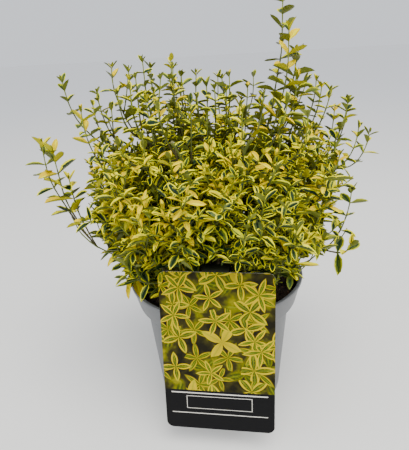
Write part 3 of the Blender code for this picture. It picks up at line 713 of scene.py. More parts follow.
def makeLabel():
    v = labelValues
    halfWidth, halfHeight, half = v["width"] / 2, v["height"] / 2, v["thick"] / 2
    angle = tau * (np.arange(v["outlinePoints"]) + 0.5) / v["outlinePoints"]
    sideX, sideZ = np.sign(np.cos(angle)), np.sign(np.sin(angle))

    def outline(y, inset):
        # a rounded rectangle: quarter circles of the corner radius round its four corner middles
        radius = v["corner"] - inset
        x = sideX * (halfWidth - v["corner"]) + radius * np.cos(angle)
        z = sideZ * (halfHeight - v["corner"]) + radius * np.sin(angle)
        return np.stack([x, np.full(len(angle), y), z], axis=-1)

    edge = v["edgeRound"]
    levels = ((-half, edge), (-half + edge, 0.0), (half - edge, 0.0), (half, edge))
    rings = np.stack([outline(y, inset) for y, inset in levels])
    card = closeGrid(rings, (0.0, -half, 0.0), (0.0, half, 0.0))
    # the strap's middle line: from inside the card's back, over a half ellipse, and straight down
    begin = [(0.0003, halfHeight - 0.004), (0.0003, halfHeight - 0.001)]
    bow = np.linspace(math.pi, 0.0, 25)
    radius = v["strapReach"] / 2
    over = np.stack([radius + radius * np.cos(bow), halfHeight + (radius / 2 - half) * np.sin(bow)], axis=-1)
    down = [(v["strapReach"], halfHeight - v["strapDrop"] * share) for share in (0.25, 0.5, 0.75, 1.0)]
    line = np.concatenate([begin, over, down])
    normal = unit(np.gradient(line, axis=0))[:, ::-1] * np.array([-1.0, 1.0])
    reach = v["strapWidth"] / 2
    thin = half * v["strapThick"]
    corners = ((-reach, -thin), (reach, -thin), (reach, thin), (-reach, thin))
    strapRings = np.stack([np.concatenate([np.full((len(line), 1), x), line + normal * depth], axis=1)
                           for x, depth in corners], axis=1)
    strap = closeGrid(strapRings, (0.0, *line[0]), (0.0, *line[-1]))
    points, quads, triangles = joined([card, strap])
    cardQuads, cardTriangles = len(card[1]), len(card[2])
    quadSlots = np.ones(len(quads), int)
    triangleSlots = np.ones(len(triangles), int)
    triangleSlots[:cardTriangles // 2] = 0  # the front's fan
    triangleSlots[cardTriangles:] = 2  # the strap
    quadSlots[cardQuads:] = 2
    quadSlots[:v["outlinePoints"]] = 0  # its rounded edge
    plain = Paint("labelBack", (0.70, 0.70, 0.67), 0.38)
    plain.grain(0.01, 0.5, 0.32, 0.14, 0.00008, 0.5)
    ink = Paint("labelInk", (0.012, 0.014, 0.008), 0.6, Specular_IOR_Level=0.08)
    ink.feed("Roughness", 0.42 + 0.14 * ink.noise(ink.place(), 0.01, 3.0))
    label = makePiece("picture_label", (fromCard(points), quads, triangles), [labelPaint(), plain, ink],
                      quadSlots, triangleSlots, sharpAngle=35)
    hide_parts("label_card")


makeLabel()
print("label made")


# Limbs: the woody stock, one bough for each mass of foliage, and the stem inside each mass

limbValues = {
    "stockFootRadius": 0.0135,
    "stockRadius": 0.0100,
    "stockMiddle": 0.1120,
    "stockDepth": 0.0030,  # of its foot, under the middle of the soil
    "boughStart": 0.0019,
    "boughTip": 0.0014,
    "stemTip": 0.0010,
    "outerShare": 0.38,  # thickness of the two boughs to the shoots that reach out
    "boughSunk": 0.0025,  # how far a bough starts back inside the stock
    "wobble": 0.0005,
    "nodes": 9,
    "nodeSwell": 0.22,
    "footSwell": (1.5, 1.35, 1.15),
    "greenFrom": 0.55,  # share of the way from which the bark is green
    "outerGreenFrom": 0.30,
    "gap": 0.0003,
    "boughSides": 10,
    "boughStations": 26,
}

massRings = (
    # name, count, first azimuth, radius and height of the middle, start angle on the stock,
    # radius and height of the bough's tip
    ("skirt", 8, 19.5, 0.070, 0.128, 8, 0.036, 0.1240),
    ("side", 6, 30.0, 0.064, 0.172, 38, 0.032, 0.1450),
    ("top", 6, 0.0, 0.050, 0.220, 66, 0.022, 0.1700),
    ("crest", 1, 0.0, 0.000, 0.225, 90, 0.000, 0.1720),
)

outliers = {
    # middle of the space, azimuth and rise of the bough's start, its bend and its tip
    "left": ((-0.104, -0.017, 0.165), (177.0, 22), (-0.062, -0.010, 0.118), (-0.0870, -0.0185, 0.1395)),
    "right": ((0.098, -0.020, 0.145), (357.0, 22), (0.050, -0.010, 0.119), (0.0790, -0.0200, 0.1270)),
}


def polar(azimuth, radius, height):
    angle = math.radians(azimuth)
    return np.array([radius * math.cos(angle), radius * math.sin(angle), height])


def curve(start, bend, end, shares):
    # (1-t)^2 a + 2t(1-t) b + t^2 c, for one curve or a whole array of curves
    t = np.asarray(shares)[:, None]
    a, b, c = (place[..., None, :] for place in (start, bend, end))
    return a * (1 - t) ** 2 + b * 2 * t * (1 - t) + c * t ** 2


clearances = {
    "rim": 0.0020,
    "soil": 0.004,
    "card": 0.0025,  # to the card's edges and the strap
    "cardBack": 0.0018,
}


def blocked(points, clearance):
    # whether each point is too near the pot, the soil, the stock, the label or its strap
    v = clearances
    x, y, z = points[..., 0], points[..., 1], points[..., 2]
    radius = np.hypot(x, y)
    overPot = radius < potValues["lipRadius"] + v["rim"]
    nearWall = radius > potValues["rimInnerRadius"] - 2 * v["rim"]
    underRim = z < potValues["rimHeight"] + v["rim"]
    hit = overPot & ((z < soilValues["middleHeight"] + v["soil"]) | (nearWall & underRim))
    stockTop = limbValues["stockMiddle"] + limbValues["stockRadius"]
    hit |= (radius < limbValues["stockFootRadius"] + clearance) & (z < stockTop + clearance)
    card = (points - cardOrigin) @ cardAxes
    above = card[..., 2] - labelValues["height"] / 2 - v["card"]
    beside = np.abs(card[..., 0])
    before = card[..., 1] < labelValues["thick"] / 2 + v["cardBack"]
    hit |= (above < 0) & before & (beside < labelValues["width"] / 2 + v["card"])
    strap = card[..., 1] < labelValues["strapReach"] + v["card"]
    strap &= beside < labelValues["strapWidth"] / 2 + v["card"]
    hit |= (above < labelValues["strapReach"] / 4) & strap
    return hit


def planMasses():
    masses = []
    top = np.array([0.0, 0.0, limbValues["stockMiddle"]])
    start = limbValues["stockRadius"] + limbValues["gap"]

    def outward(azimuth, rise):
        return polar(azimuth, math.cos(math.radians(rise)), math.sin(math.radians(rise)))

    for ring, count, first, radius, height, rise, tipRadius, tipHeight in massRings:
        for index in range(count):
            azimuth = first + index * 360 / count
            away = outward(azimuth, rise)
            tip = polar(azimuth, tipRadius, tipHeight)
            foot = top + away * start
            name = f"{ring}_{index + 1}" if count > 1 else ring
            bend = foot + away * np.linalg.norm(tip - foot) * 0.5
            masses.append({"name": name, "middle": polar(azimuth, radius, height), "path": (foot, bend, tip)})
    for side, (middle, direction, bend, tip) in outliers.items():
        path = (top + outward(*direction) * start, np.array(bend), np.array(tip))
        masses.append({"name": f"outlier_{side}", "middle": np.array(middle), "path": path})
    for mass in masses:
        # the mass's stem grows on from its bough's tip towards the middle of the space
        _, bend, tip = mass["path"]
        away = unit(tip - bend)
        hub = mass["middle"]
        while blocked(hub, 0.004):
            hub = hub * 0.85 + tip * 0.15
        foot = tip + away * limbValues["gap"]
        mass["stem"] = (foot, foot + away * np.linalg.norm(hub - foot) * 0.4, hub)
    return masses


masses = planMasses()
middles = np.array([mass["middle"] for mass in masses])


def nearestMass(points, among=None):
    return np.argmin(np.linalg.norm(points[:, None] - middles[:among], axis=-1), axis=1)


def barkPaint(name, dark, pale, ridge):
    paint = Paint(name, tuple((a + b) / 2 for a, b in zip(dark, pale)), 0.8, Specular_IOR_Level=0.3)
    place = paint.place()
    patches = paint.noise(place, 0.006, 5.0, 0.65)
    pores = paint.noise(place, 0.0012, 3.0, 0.7)
    tone = paint.mix((patches - 0.3) * 2.2, dark, pale)
    paint.feed("Base Color", paint.mix((pores > 0.64) * 0.6, tone, tuple(min(1.0, c * 1.7) for c in pale)))
    paint.feed("Roughness", 0.70 + 0.20 * patches)
    paint.bump(patches + 0.6 * pores, ridge)
    return paint


def makeStock():
    # a turned body: r = R + (foot R - R) (1 - s)^2 up to a domed top. Ripples that are long up the
    # stem and short round it push the skin in and out along its radius, for the furrows
    v = limbValues
    foot = soilValues["middleHeight"] - v["stockDepth"]
    share = np.linspace(0.0, 1.0, 22)
    radius = v["stockRadius"] + (v["stockFootRadius"] - v["stockRadius"]) * (1 - share) ** 2
    height = foot + (v["stockMiddle"] - foot) * share
    arc = np.linspace(0.0, math.pi / 2, 12)[1:-1]
    radius = np.concatenate([[0.0], radius, v["stockRadius"] * np.cos(arc), [0.0]])
    height = np.concatenate([[foot], height, v["stockMiddle"] + v["stockRadius"] * np.sin(arc),
                             [v["stockMiddle"] + v["stockRadius"]]])
    points, quads, triangles = turned(np.stack([radius, height], axis=-1), 72)
    level = points * np.array([1.0, 1.0, 0.22])
    push = 0.10 * ripples(level, 0.0065, 41) + 0.05 * ripples(points, 0.0022, 42)
    points = points + points * (np.array([1.0, 1.0, 0.0]) * push[:, None])
    paint = barkPaint("stockBark", (0.070, 0.052, 0.030), (0.21, 0.17, 0.095), 0.0006)
    stock = makePiece("stock_bark", (points, quads, triangles), [paint])
    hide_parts("stem_base")


def makeBoughs():
    # every bough runs on into its mass's stem as one tube. Its radius falls evenly to the bough's tip
    # half way and on to the stem's tip, times 1 + swell max(0, cos(2 pi nodes s))^6, and the skin
    # has ridges
    v = limbValues
    stations = np.linspace(0.0, 1.0, v["boughStations"])
    thickness = (v["boughStart"], v["boughTip"], v["stemTip"])
    shapes = []
    greens = []
    for index, mass in enumerate(masses):
        outer = mass["name"].startswith("outlier")
        bough = curve(*mass["path"], stations)
        stem = curve(*mass["stem"], stations)[1:]
        path = np.concatenate([bough[:1] + unit(bough[0] - bough[1]) * v["boughSunk"], bough, stem])
        path[1:] += v["wobble"] * drift(path[1:], 0.02, 50)
        along = np.linspace(0.0, 1.0, len(path))
        radii = np.interp(along, (0.0, 0.5, 1.0), thickness) * (v["outerShare"] if outer else 1.0)
        radii *= 1.0 + v["nodeSwell"] * np.maximum(0.0, np.cos(along * tau * v["nodes"])) ** 6
        radii[:3] *= v["footSwell"]
        shapes.append(tube(path, radii, v["boughSides"],
                           lambda p, seed=index: 0.10 * ripples(p, 0.0028, 60 + seed)))
        green = along[1:] > v["outerGreenFrom" if outer else "greenFrom"]
        greens.append(np.repeat(green.astype(int), v["boughSides"]))
    paints = [barkPaint("boughBark", (0.075, 0.066, 0.028), (0.20, 0.19, 0.070), 0.0003),
              barkPaint("boughGreen", (0.090, 0.110, 0.020), (0.17, 0.21, 0.040), 0.0002)]
    boughs = makePiece("boughs_and_stems", joined(shapes), paints, np.concatenate(greens))
    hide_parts(*[f"bough_{mass['name']}" for mass in masses])


makeStock()
makeBoughs()
print("stock and boughs made")


# Shoots: many fine shoots. Tips spread over the dome by the golden angle, the long tips stand
# out of it, and each shoot carries a few side shoots.

shootValues = {
    "crownMiddle": (0.0, 0.0, 0.115),
    "reachAngles": (-25, 0, 15, 30, 45, 55, 68, 90),
    "reachesLeft": (0.044, 0.072, 0.096, 0.124, 0.135, 0.129, 0.106, 0.092),
    "reachesRight": (0.036, 0.068, 0.099, 0.119, 0.138, 0.137, 0.107, 0.090),
    "deeper": 0.97,  # share of the reach along y, front to back
    "count": 400,
    "upward": 0.86,
    "lowest": -15.0,
    "depth": (0.66, 1.0),  # shares of the reach at which the tips end
    "leafRoom": 0.007,  # left between a tip and its reach, for the leaves
    "turnUp": 0.012,  # how far a level shoot's tip curves up to the light
    "turnUpShare": 0.6,  # of that, taken off the tip's height beforehand
    "frontCount": 12,  # some more low shoots in front, over the label's strap
    "frontX": (-0.034, 0.036),
    "frontY": (-0.080, -0.066),
    "frontZ": (0.121, 0.136),
    "companions": 1,  # shorter shoots beside each long one
    "companionSpread": 0.013,
    "companionInward": 0.96,
    "companionDrop": (0.006, 0.034),
    "roots": (0.05, 0.95),  # shares of the stem, less for the single and the low shoots
    "lowTips": 0.135,
    "lowRoots": 0.6,
    "bendRun": (0.82, 0.10),  # shares of the run and the length to a shoot's bend
    "bendDrop": (0.30, 0.30),
    "longUpright": 0.08,
    "loneBow": (0.25, 0.42),
    "clearance": 0.003,
    "lift": 0.004,  # the tip is lifted by this for each try until the way is clear
    "tries": 8,
    "stations": 16,
    "wobble": 0.0011,
    "wobbleLength": 0.045,
    "startRadius": 0.00066,
    "tipRadius": 0.00034,
    "sideRadius": 0.72,  # of the start radius
    "nodeSwell": 1.32,
    "sides": 6,
    "sideShoots": 2.3,  # for each shoot, on average
    "bareLong": 0.7,  # share of the long shoots without any
    "lowSideHeights": (0.12, 0.16),
    "lowSideShare": 0.45,
    "sidePlaces": (0.30, 0.88),  # shares of the shoot
    "sideLength": (0.014, 0.030),
    "sideLean": 0.8,
    "sideRise": 0.25,
    "sideRoom": 0.006,
    "sideStations": 8,
    "longLeaf": {"long": 0.0114, "lone": 0.0156},
    "longStep": {"long": 0.0094, "lone": 0.0090},
}

longTips = (
    (0.081, 0.020, 0.2400), (0.086, 0.000, 0.2350), (0.096, -0.010, 0.2270), (0.103, -0.014, 0.2080),
    (-0.096, -0.010, 0.2520), (-0.077, 0.000, 0.2450), (-0.066, 0.010, 0.2640), (-0.044, 0.010, 0.2680),
    (-0.048, -0.010, 0.2570), (-0.025, 0.020, 0.2670), (-0.008, 0.020, 0.2560), (0.014, 0.000, 0.2470),
    (0.030, 0.020, 0.2430), (0.034, -0.026, 0.2380), (-0.020, 0.062, 0.2500), (0.040, 0.060, 0.2460),
    (-0.030, -0.045, 0.2400), (-0.012, -0.030, 0.2420), (0.020, -0.050, 0.2360), (0.058, -0.052, 0.2250),
    (-0.023, -0.010, 0.2630), (-0.018, 0.025, 0.2570), (-0.001, 0.012, 0.2480), (0.005, -0.012, 0.2510),
    (0.012, 0.028, 0.2510), (0.017, 0.002, 0.2550), (0.098, -0.004, 0.2280), (0.064, 0.004, 0.2530),
    (-0.057, 0.018, 0.2600), (-0.032, -0.018, 0.2570), (-0.042, 0.026, 0.2600), (0.010, 0.062, 0.2490),
)

# single shoots that stand alone, with larger leaves: the tall ones, and those that reach out at the sides
loneTips = (
    (0.054, 0.010, 0.3070), (0.055, -0.010, 0.2830), (0.064, 0.008, 0.2660), (0.070, 0.010, 0.2440),
    (0.068, 0.016, 0.2380), (0.060, -0.004, 0.2500), (0.050, -0.030, 0.2340), (-0.115, -0.018, 0.2170),
    (-0.108, -0.020, 0.2130), (-0.098, -0.022, 0.1950), (0.100, -0.020, 0.1700), (0.098, -0.030, 0.1240),
)


def crownReach(points):
    # how far the dome reaches in the direction of each point, by its angle above level
    run = (points - np.array(shootValues["crownMiddle"])) / np.array([1.0, shootValues["deeper"], 1.0])
    level = np.hypot(run[..., 0], run[..., 1])
    rise = np.degrees(np.arctan2(run[..., 2], level))
    left = np.interp(rise, shootValues["reachAngles"], shootValues["reachesLeft"])
    right = np.interp(rise, shootValues["reachAngles"], shootValues["reachesRight"])
    share = 0.5 + 0.5 * run[..., 0] / np.maximum(level, 0.0001)
    return left + (right - left) * share, np.linalg.norm(run, axis=-1)


def planTips(dice):
    # the dome's tips by the golden angle, then the front ones, the long ones, their companions and
    # the single ones
    v = shootValues
    index = np.arange(v["count"])
    lowest = math.sin(math.radians(v["lowest"]))
    rise = np.arcsin(lowest + (1 - lowest) * ((index + 0.5) / v["count"]) ** v["upward"])
    turn = index * math.pi * (3 - math.sqrt(5))
    away = np.stack([np.cos(rise) * np.cos(turn), np.cos(rise) * np.sin(turn), np.sin(rise)], axis=-1)
    away = away * np.array([1.0, v["deeper"], 1.0])
    reach, _ = crownReach(np.array(v["crownMiddle"]) + away)
    far = reach * dice.uniform(*v["depth"], v["count"])
    dome = np.array(v["crownMiddle"]) + away * (far - v["leafRoom"])[:, None]
    dome[:, 2] -= v["turnUp"] * np.cos(rise) ** 3 * v["turnUpShare"]
    front = [np.linspace(*v["frontX"], v["frontCount"])]
    front += [dice.uniform(*v[key], v["frontCount"]) for key in ("frontY", "frontZ")]
    dome = np.concatenate([dome, np.stack(front, axis=-1)])
    tall = np.repeat(np.array(longTips), v["companions"], axis=0)
    tall[:, :2] += dice.normal(0.0, v["companionSpread"], (len(tall), 2))
    tall[:, :2] *= v["companionInward"]
    tall[:, 2] -= dice.uniform(*v["companionDrop"], len(tall))
    kinds = np.repeat(["dome", "long", "long", "lone"], (len(dome), len(longTips), len(tall), len(loneTips)))
    return np.concatenate([dome, longTips, tall, loneTips]), kinds


def shootBends(roots, tips, kinds):
    # a shoot leaves sideways and then turns up, the more so the steeper it is; a single shoot bows
    # out from its middle by 0.25 + 0.42 steep^8 of its level run
    v = shootValues
    run = tips - roots
    flat = run * np.array([1.0, 1.0, 0.0])
    length = np.linalg.norm(run, axis=1)
    steep = np.abs(run[:, 2]) / np.maximum(length, 0.0001)
    upright = (kinds == "long") * v["longUpright"]
    bends = roots + flat * (v["bendRun"][0] + upright + v["bendRun"][1] * steep)[:, None]
    bends[:, 2] = tips[:, 2] - length * (v["bendDrop"][0] + 2.0 * upright + v["bendDrop"][1] * steep)
    bowed = (roots + tips) / 2 + flat * (v["loneBow"][0] + v["loneBow"][1] * steep ** 8)[:, None]
    return np.where((kinds == "lone")[:, None], bowed, bends)


def growShoots():
    v = shootValues
    dice = np.random.default_rng(5)
    tips, kinds = planTips(dice)
    # only single shoots grow on the two limbs that reach out
    owner = np.where(kinds == "lone", nearestMass(tips), nearestMass(tips, len(masses) - 2))
    inner = (kinds == "lone") | (tips[:, 2] < v["lowTips"])
    along = dice.uniform(*v["roots"], len(tips)) * np.where(inner, v["lowRoots"], 1.0)
    roots = np.array([curve(*masses[m]["stem"], [t])[0] for m, t in zip(owner, along)])
    stations = np.linspace(0.0, 1.0, v["stations"])
    paths = np.zeros((len(tips), v["stations"], 3))
    waiting = np.ones(len(tips), bool)
    for lift in range(v["tries"]):
        ends = tips + np.array([0.0, 0.0, lift * v["lift"]])
        tried = curve(roots, shootBends(roots, ends, kinds), ends, stations)
        clear = waiting & ~blocked(tried[:, 2:], v["clearance"]).any(axis=1)
        paths[clear] = tried[clear]
        waiting &= ~clear
    # the shoots wobble more towards their tips, each in its own way
    apart = 3.0 * np.arange(len(tips))[:, None, None]
    wobble = drift(paths + apart, v["wobbleLength"], 70)
    paths += v["wobble"] * wobble * (stations ** 0.7)[:, None]
    # a level shoot curves up towards its tip: z grows by turnUp (level share)^2 s^2.5
    run = paths[:, -1] - paths[:, 0]
    level = np.hypot(run[:, 0], run[:, 1]) / np.maximum(np.linalg.norm(run, axis=1), 0.0001)
    paths[:, :, 2] += v["turnUp"] * (level ** 2)[:, None] * stations ** 2.5
    shoots = []
    for index in np.flatnonzero(~waiting):
        shoots.append({"path": paths[index], "mass": owner[index], "kind": str(kinds[index]), "order": 1})
    return shoots, dice


def growSideShoots(shoots, dice):
    # each leaves its shoot at a random station along it, at about 45 degrees, and bends up to the light
    v = shootValues
    found = []
    stations = np.linspace(0.0, 1.0, v["sideStations"])
    up = np.array([0.0, 0.0, v["sideRise"]])
    for shoot in shoots:
        if shoot["kind"] == "lone" or (shoot["kind"] == "long" and dice.random() < v["bareLong"]):
            continue
        path = shoot["path"]
        along, side, across = transport(path)
        share = np.interp(path[-1, 2], v["lowSideHeights"], (v["lowSideShare"], 1.0))
        for _ in range(dice.poisson(v["sideShoots"] * share)):
            station = int(dice.uniform(*v["sidePlaces"]) * (len(path) - 1))
            turn = dice.uniform(0.0, tau)
            out = side[station] * math.cos(turn) + across[station] * math.sin(turn)
            aim = unit(along[station] * v["sideLean"] + out * v["sideLean"] + up)
            length = dice.uniform(*v["sideLength"])
            start = path[station]
            end = start + aim * length + up * length
            reach, far = crownReach(end)
            if shoot["kind"] == "dome" and far > reach - v["sideRoom"]:
                length *= 0.5
                end = start + aim * length + up * length
                reach, far = crownReach(end)
                if far > reach:
                    continue
            if shoot["kind"] == "long" and end[2] > path[-1, 2] - 0.004:
                continue
            line = curve(start, start + aim * length * 0.55, end, stations)
            if not blocked(line[1:], 0.002).any():
                found.append({"path": line, "mass": shoot["mass"], "kind": shoot["kind"], "order": 2})
    return found


# Leaves: opposite pairs, a quarter turn from pair to pair, closed blades with their own outline

leafValues = {
    "length": (0.0118, 0.0192),  # metres, by spray
    "sizeHeights": (0.11, 0.15, 0.19, 0.22, 0.25),  # metres up the plant
    "sizes": (1.12, 1.04, 0.86, 0.76, 0.64),  # the leaves' sizes at those heights
    "step": (0.0062, 0.0090),  # between two pairs
    "lowHeights": (0.125, 0.155),
    "lowStep": 1.30,  # wider steps between the pairs of the lowest shoots
    "longSize": (0.85, 1.15),  # the spread on long and single shoots
    "longSteps": (0.85, 1.20),
    "sideSize": 0.84,  # and on side shoots
    "sideStep": 0.85,
    "widthShare": (0.35, 0.50),
    "longWidth": 1.10,
    "levelling": 0.84,
    "angle": 74.0,  # degrees between shoot and leaf
    "angleShares": (0.0, 0.75, 0.96, 1.0),
    "angles": (1.10, 1.0, 0.78, 0.30),  # times the angle, towards the tip
    "lengths": (0.95, 1.0, 0.90, 0.36),  # and times the length
    "lengthSpread": (0.82, 1.12),
    "angleSpread": 0.17,  # radians
    "turnSpread": 0.20,
    "upSpread": 0.20,
    "upAlong": 0.12,
    "crowding": 1.25,
    "bareFoot": (0.22, 0.10),  # bare share of a shoot, and of a side shoot
    "loneHeight": 0.22,
    "loneBare": (0.42, 0.30),  # bare share of a single shoot under that height, and above it
    "tipGap": 0.02,
    "petiole": 0.09,  # share of the length
    "stations": (0.13, 0.36, 0.63, 0.86),
    "thick": 0.00030,
    "outlineRise": 0.66,  # exponents of the blade's outline
    "outlineFall": 0.74,
    "fold": (0.20, 0.90),  # radians
    "droop": (0.05, 0.11),  # mean and spread, shares of the length
    "twist": 0.30,
    "wave": 0.10,  # share of half the width
    "waveTurn": 9.0,
    "borderSpread": 0.075,
    "borders": (0.15, 0.93),  # least and most share of half the width
    "hearts": (0.35, 0.65),
    "rootDepth": 0.0005,
    "marginMore": 0.10,  # share of the flank faces in the margin's tone
    "flankMore": 0.20,  # share of the heart's faces in the flank's tone
    "halfGolden": 0.07,  # share of the leaves with one side all in the margin's tone
    "bareSpot": (0.051, -0.045, 0.118),  # round it no leaf grows, and the soil shows
    "bareReach": 0.0300,
}

leafTones = {
    "leafDeep": (0.007, 0.021, 0.009),
    "leafDark": (0.014, 0.038, 0.013),
    "leafMid": (0.076, 0.110, 0.014),
    "leafGrey": (0.080, 0.118, 0.032),
    "leafOlive": (0.160, 0.174, 0.020),
    "leafLime": (0.480, 0.496, 0.002),
    "leafYellow": (0.745, 0.698, 0.000),
    "leafGold": (0.660, 0.480, 0.000),
    "leafCream": (0.740, 0.700, 0.012),
    "leafUnderGreen": (0.130, 0.150, 0.020),
    "leafUnderYellow": (0.370, 0.345, 0.012),
}
toneNumber = {name: index for index, name in enumerate(leafTones)}

leafKinds = (
    # margin, flank, heart, stalk, underside; margin's inner edge, share of half the width; chance
    (("leafYellow", "leafDark", "leafDeep", "leafLime", "leafUnderGreen"), 0.68, 0.36),
    (("leafYellow", "leafGrey", "leafDark", "leafLime", "leafUnderGreen"), 0.64, 0.16),
    (("leafCream", "leafGrey", "leafDeep", "leafLime", "leafUnderGreen"), 0.68, 0.10),
    (("leafLime", "leafMid", "leafDark", "leafOlive", "leafUnderGreen"), 0.64, 0.11),
    (("leafYellow", "leafGold", "leafMid", "leafLime", "leafUnderYellow"), 0.46, 0.17),
    (("leafGold", "leafGold", "leafYellow", "leafLime", "leafUnderYellow"), 0.50, 0.16),
    (("leafLime", "leafOlive", "leafMid", "leafOlive", "leafUnderGreen"), 0.74, 0.03),
    (("leafOlive", "leafMid", "leafDark", "leafOlive", "leafUnderGreen"), 0.80, 0.01),
    # painted shade: a dark kind with a dark underside, dealt only to leaves inside the crown
    (("leafMid", "leafDark", "leafDeep", "leafOlive", "leafDark"), 0.80, 0.00),
)

sprayValues = {
    "own": 1.6,  # added to the odds of a spray's own kind
    "golden": [4, 5],  # the kinds that stand in patches
    "clustering": 1.6,
    "patchSize": 0.075,
    "patchSeed": 328,
    "patches": (-0.55, 1.5),
    "long": {3: 0.4, 6: 0.2, 0: 0.2, 1: 0.2},  # added on the long and the single shoots, by kind
    "loneLow": {0: 1.0, 4: 0.4},  # on the single shoots under loneHeight
    "loneHigh": {3: 1.2, 6: 1.2},  # and above it
    "loneHeight": 0.225,
    "shadeStart": 0.78,  # share of the reach within which leaves are dealt dark kinds, as painted shade inside the crown
    "shadeRun": 0.32,
    "shadeMost": 0.92,
    "shadeKinds": {0: 0.3, 3: 0.3, 8: 0.4},
    "topLight": 0.60,  # how much of that painted shade is taken back at the top, as painted light from above
    "lightHeights": (0.160, 0.195),
    # old green leaves low down, which are also painted shade for the darker low crown
    "oldShadeBelow": 0.142,
    "oldShadeShare": 0.5,
    "oldShadeKinds": {0: 0.32, 3: 0.50, 7: 0.18},
}


def leafPaint(name, colour):
    paint = Paint(name, colour, 0.5, Specular_IOR_Level=0.02 if colour[0] > 0.2 else 0.14)
    place = paint.place()
    cells = paint.noise(place, 0.0030, 3.0, 0.6)
    veins = paint.noise(place, 0.0009, 2.0, 0.6)
    paint.feed("Roughness", 0.36 + 0.20 * cells)
    paint.bump(cells + 0.5 * veins, 0.00035, 0.7)
    return paint


def leafPlaces(shoot, dice):
    # for each leaf of a shoot: its root on the shoot, its direction, its upper side and its length,
    # and last the distances of the nodes along the shoot
    v = leafValues
    path = shoot["path"]
    along, side, _ = transport(path)
    distance = travel(path)
    total = distance[-1]
    step = dice.uniform(*v["step"])
    size = dice.uniform(*v["length"])
    height = path[-1, 2]
    size *= np.interp(height, v["sizeHeights"], v["sizes"])
    step *= np.interp(height, v["lowHeights"], (v["lowStep"], 1.0))
    if shoot["kind"] != "dome":
        size = shootValues["longLeaf"][shoot["kind"]] * dice.uniform(*v["longSize"])
        step = shootValues["longStep"][shoot["kind"]] * dice.uniform(*v["longSteps"])
    if shoot["order"] == 2:
        size *= v["sideSize"]
        step *= v["sideStep"]
    bare = v["bareFoot"][shoot["order"] - 1]
    if shoot["kind"] == "lone":
        bare = v["loneBare"][0 if height < v["loneHeight"] else 1]
    pairs = max(2, round(total * (1 - bare) / step))
    # the pairs stand closer towards the tip: 1 - (1 - k / n) ^ crowding
    even = 1 - (1 - np.arange(pairs + 1) / pairs) ** v["crowding"]
    share = np.concatenate([bare + (1 - bare) * even - v["tipGap"], [1.0]])
    spots = share * total
    node, forward = sample(path, distance, spots), unit(sample(along, distance, spots))
    sideways = sample(side, distance, spots)
    sideways = unit(sideways - forward * (sideways * forward).sum(-1, keepdims=True))
    crosswise = np.cross(forward, sideways)
    count = len(spots)
    quarter = np.arange(count) % 2 * math.pi / 2 + dice.uniform(0.0, tau)
    turn = quarter[:, None] + np.array([0.0, math.pi]) + dice.normal(0.0, v["turnSpread"], (count, 2))
    out = sideways[:, None] * np.cos(turn)[..., None] + crosswise[:, None] * np.sin(turn)[..., None]
    # on a level shoot the leaves twist at the stalk until they all lie nearly level
    level = 1.0 - np.abs(forward[:, 2:3])
    out[..., 2] *= 1.0 - v["levelling"] * level
    out = unit(out)
    angle = np.radians(v["angle"]) * np.interp(share, v["angleShares"], v["angles"])
    angle = angle[:, None] + dice.normal(0.0, v["angleSpread"], (count, 2))
    aim = unit(forward[:, None] * np.cos(angle)[..., None] + out * np.sin(angle)[..., None])
    # the upper side faces the light above, and a little along the shoot
    up = forward[:, None] * v["upAlong"] + np.array([0.0, 0.0, 1.0])
    up = up + dice.normal(0.0, v["upSpread"], (count, 2, 3))
    up = unit(up - aim * (up * aim).sum(-1, keepdims=True))
    lengths = size * np.interp(share, (bare, 0.5, 0.96, 1.0), v["lengths"])
    lengths = lengths[:, None] * dice.uniform(*v["lengthSpread"], (count, 2))
    root = node[:, None] - aim * v["rootDepth"]
    return (*(array.reshape(-1, 3) for array in (root, aim, up)), lengths.ravel(), spots[:-1])


def shootTube(shoot, spots):
    # stations at every node and half way between, with the nodes swollen by a third
    v = shootValues
    path = shoot["path"]
    distance = travel(path)
    between = (spots[1:] + spots[:-1]) / 2
    stations = np.sort(np.concatenate([[0.0, spots[0] * 0.5], spots, between]))
    share = stations / distance[-1]
    start = v["startRadius"] * (1.0 if shoot["order"] == 1 else v["sideRadius"])
    radii = start + (v["tipRadius"] - start) * share
    radii = radii * np.where(np.isin(stations, spots), v["nodeSwell"], 1.0)
    return tube(sample(path, distance, stations), radii, v["sides"]), share


shoots, growthDice = growShoots()
shoots += growSideShoots(shoots, growthDice)
print("shoots grown:", len(shoots))


shootTones = {
    "shootOld": (0.070, 0.062, 0.022),
    "shootGreen": (0.085, 0.100, 0.022),
    "shootYoung": (0.170, 0.200, 0.020),
}


def makeShoots():
    paints = grainyPaints(shootTones, 0.5, 0.15, size=0.0012, fineness=0.6, low=0.42, span=0.20,
                          depth=0.00012)
    shapes = []
    quadSlots = []
    triangleSlots = []
    sides = shootValues["sides"]
    for shoot in shoots:
        shape, share = shootTube(shoot, shoot["spots"])
        # the tones change at 0.30 and 0.80 of the way, and a side shoot is younger by 0.25
        tone = np.digitize(share[:-1] + 0.25 * (shoot["order"] - 1), (0.30, 0.80))
        shapes.append(shape)
        quadSlots.append(np.repeat(tone, sides))
        triangleSlots.append(np.repeat([tone[0], tone[-1]], sides))
    quadSlots, triangleSlots = np.concatenate(quadSlots), np.concatenate(triangleSlots)
    piece = makePiece("green_shoots", joined(shapes), paints, quadSlots, triangleSlots)
    print("shoots made, triangles:", 2 * len(quadSlots) + len(triangleSlots))


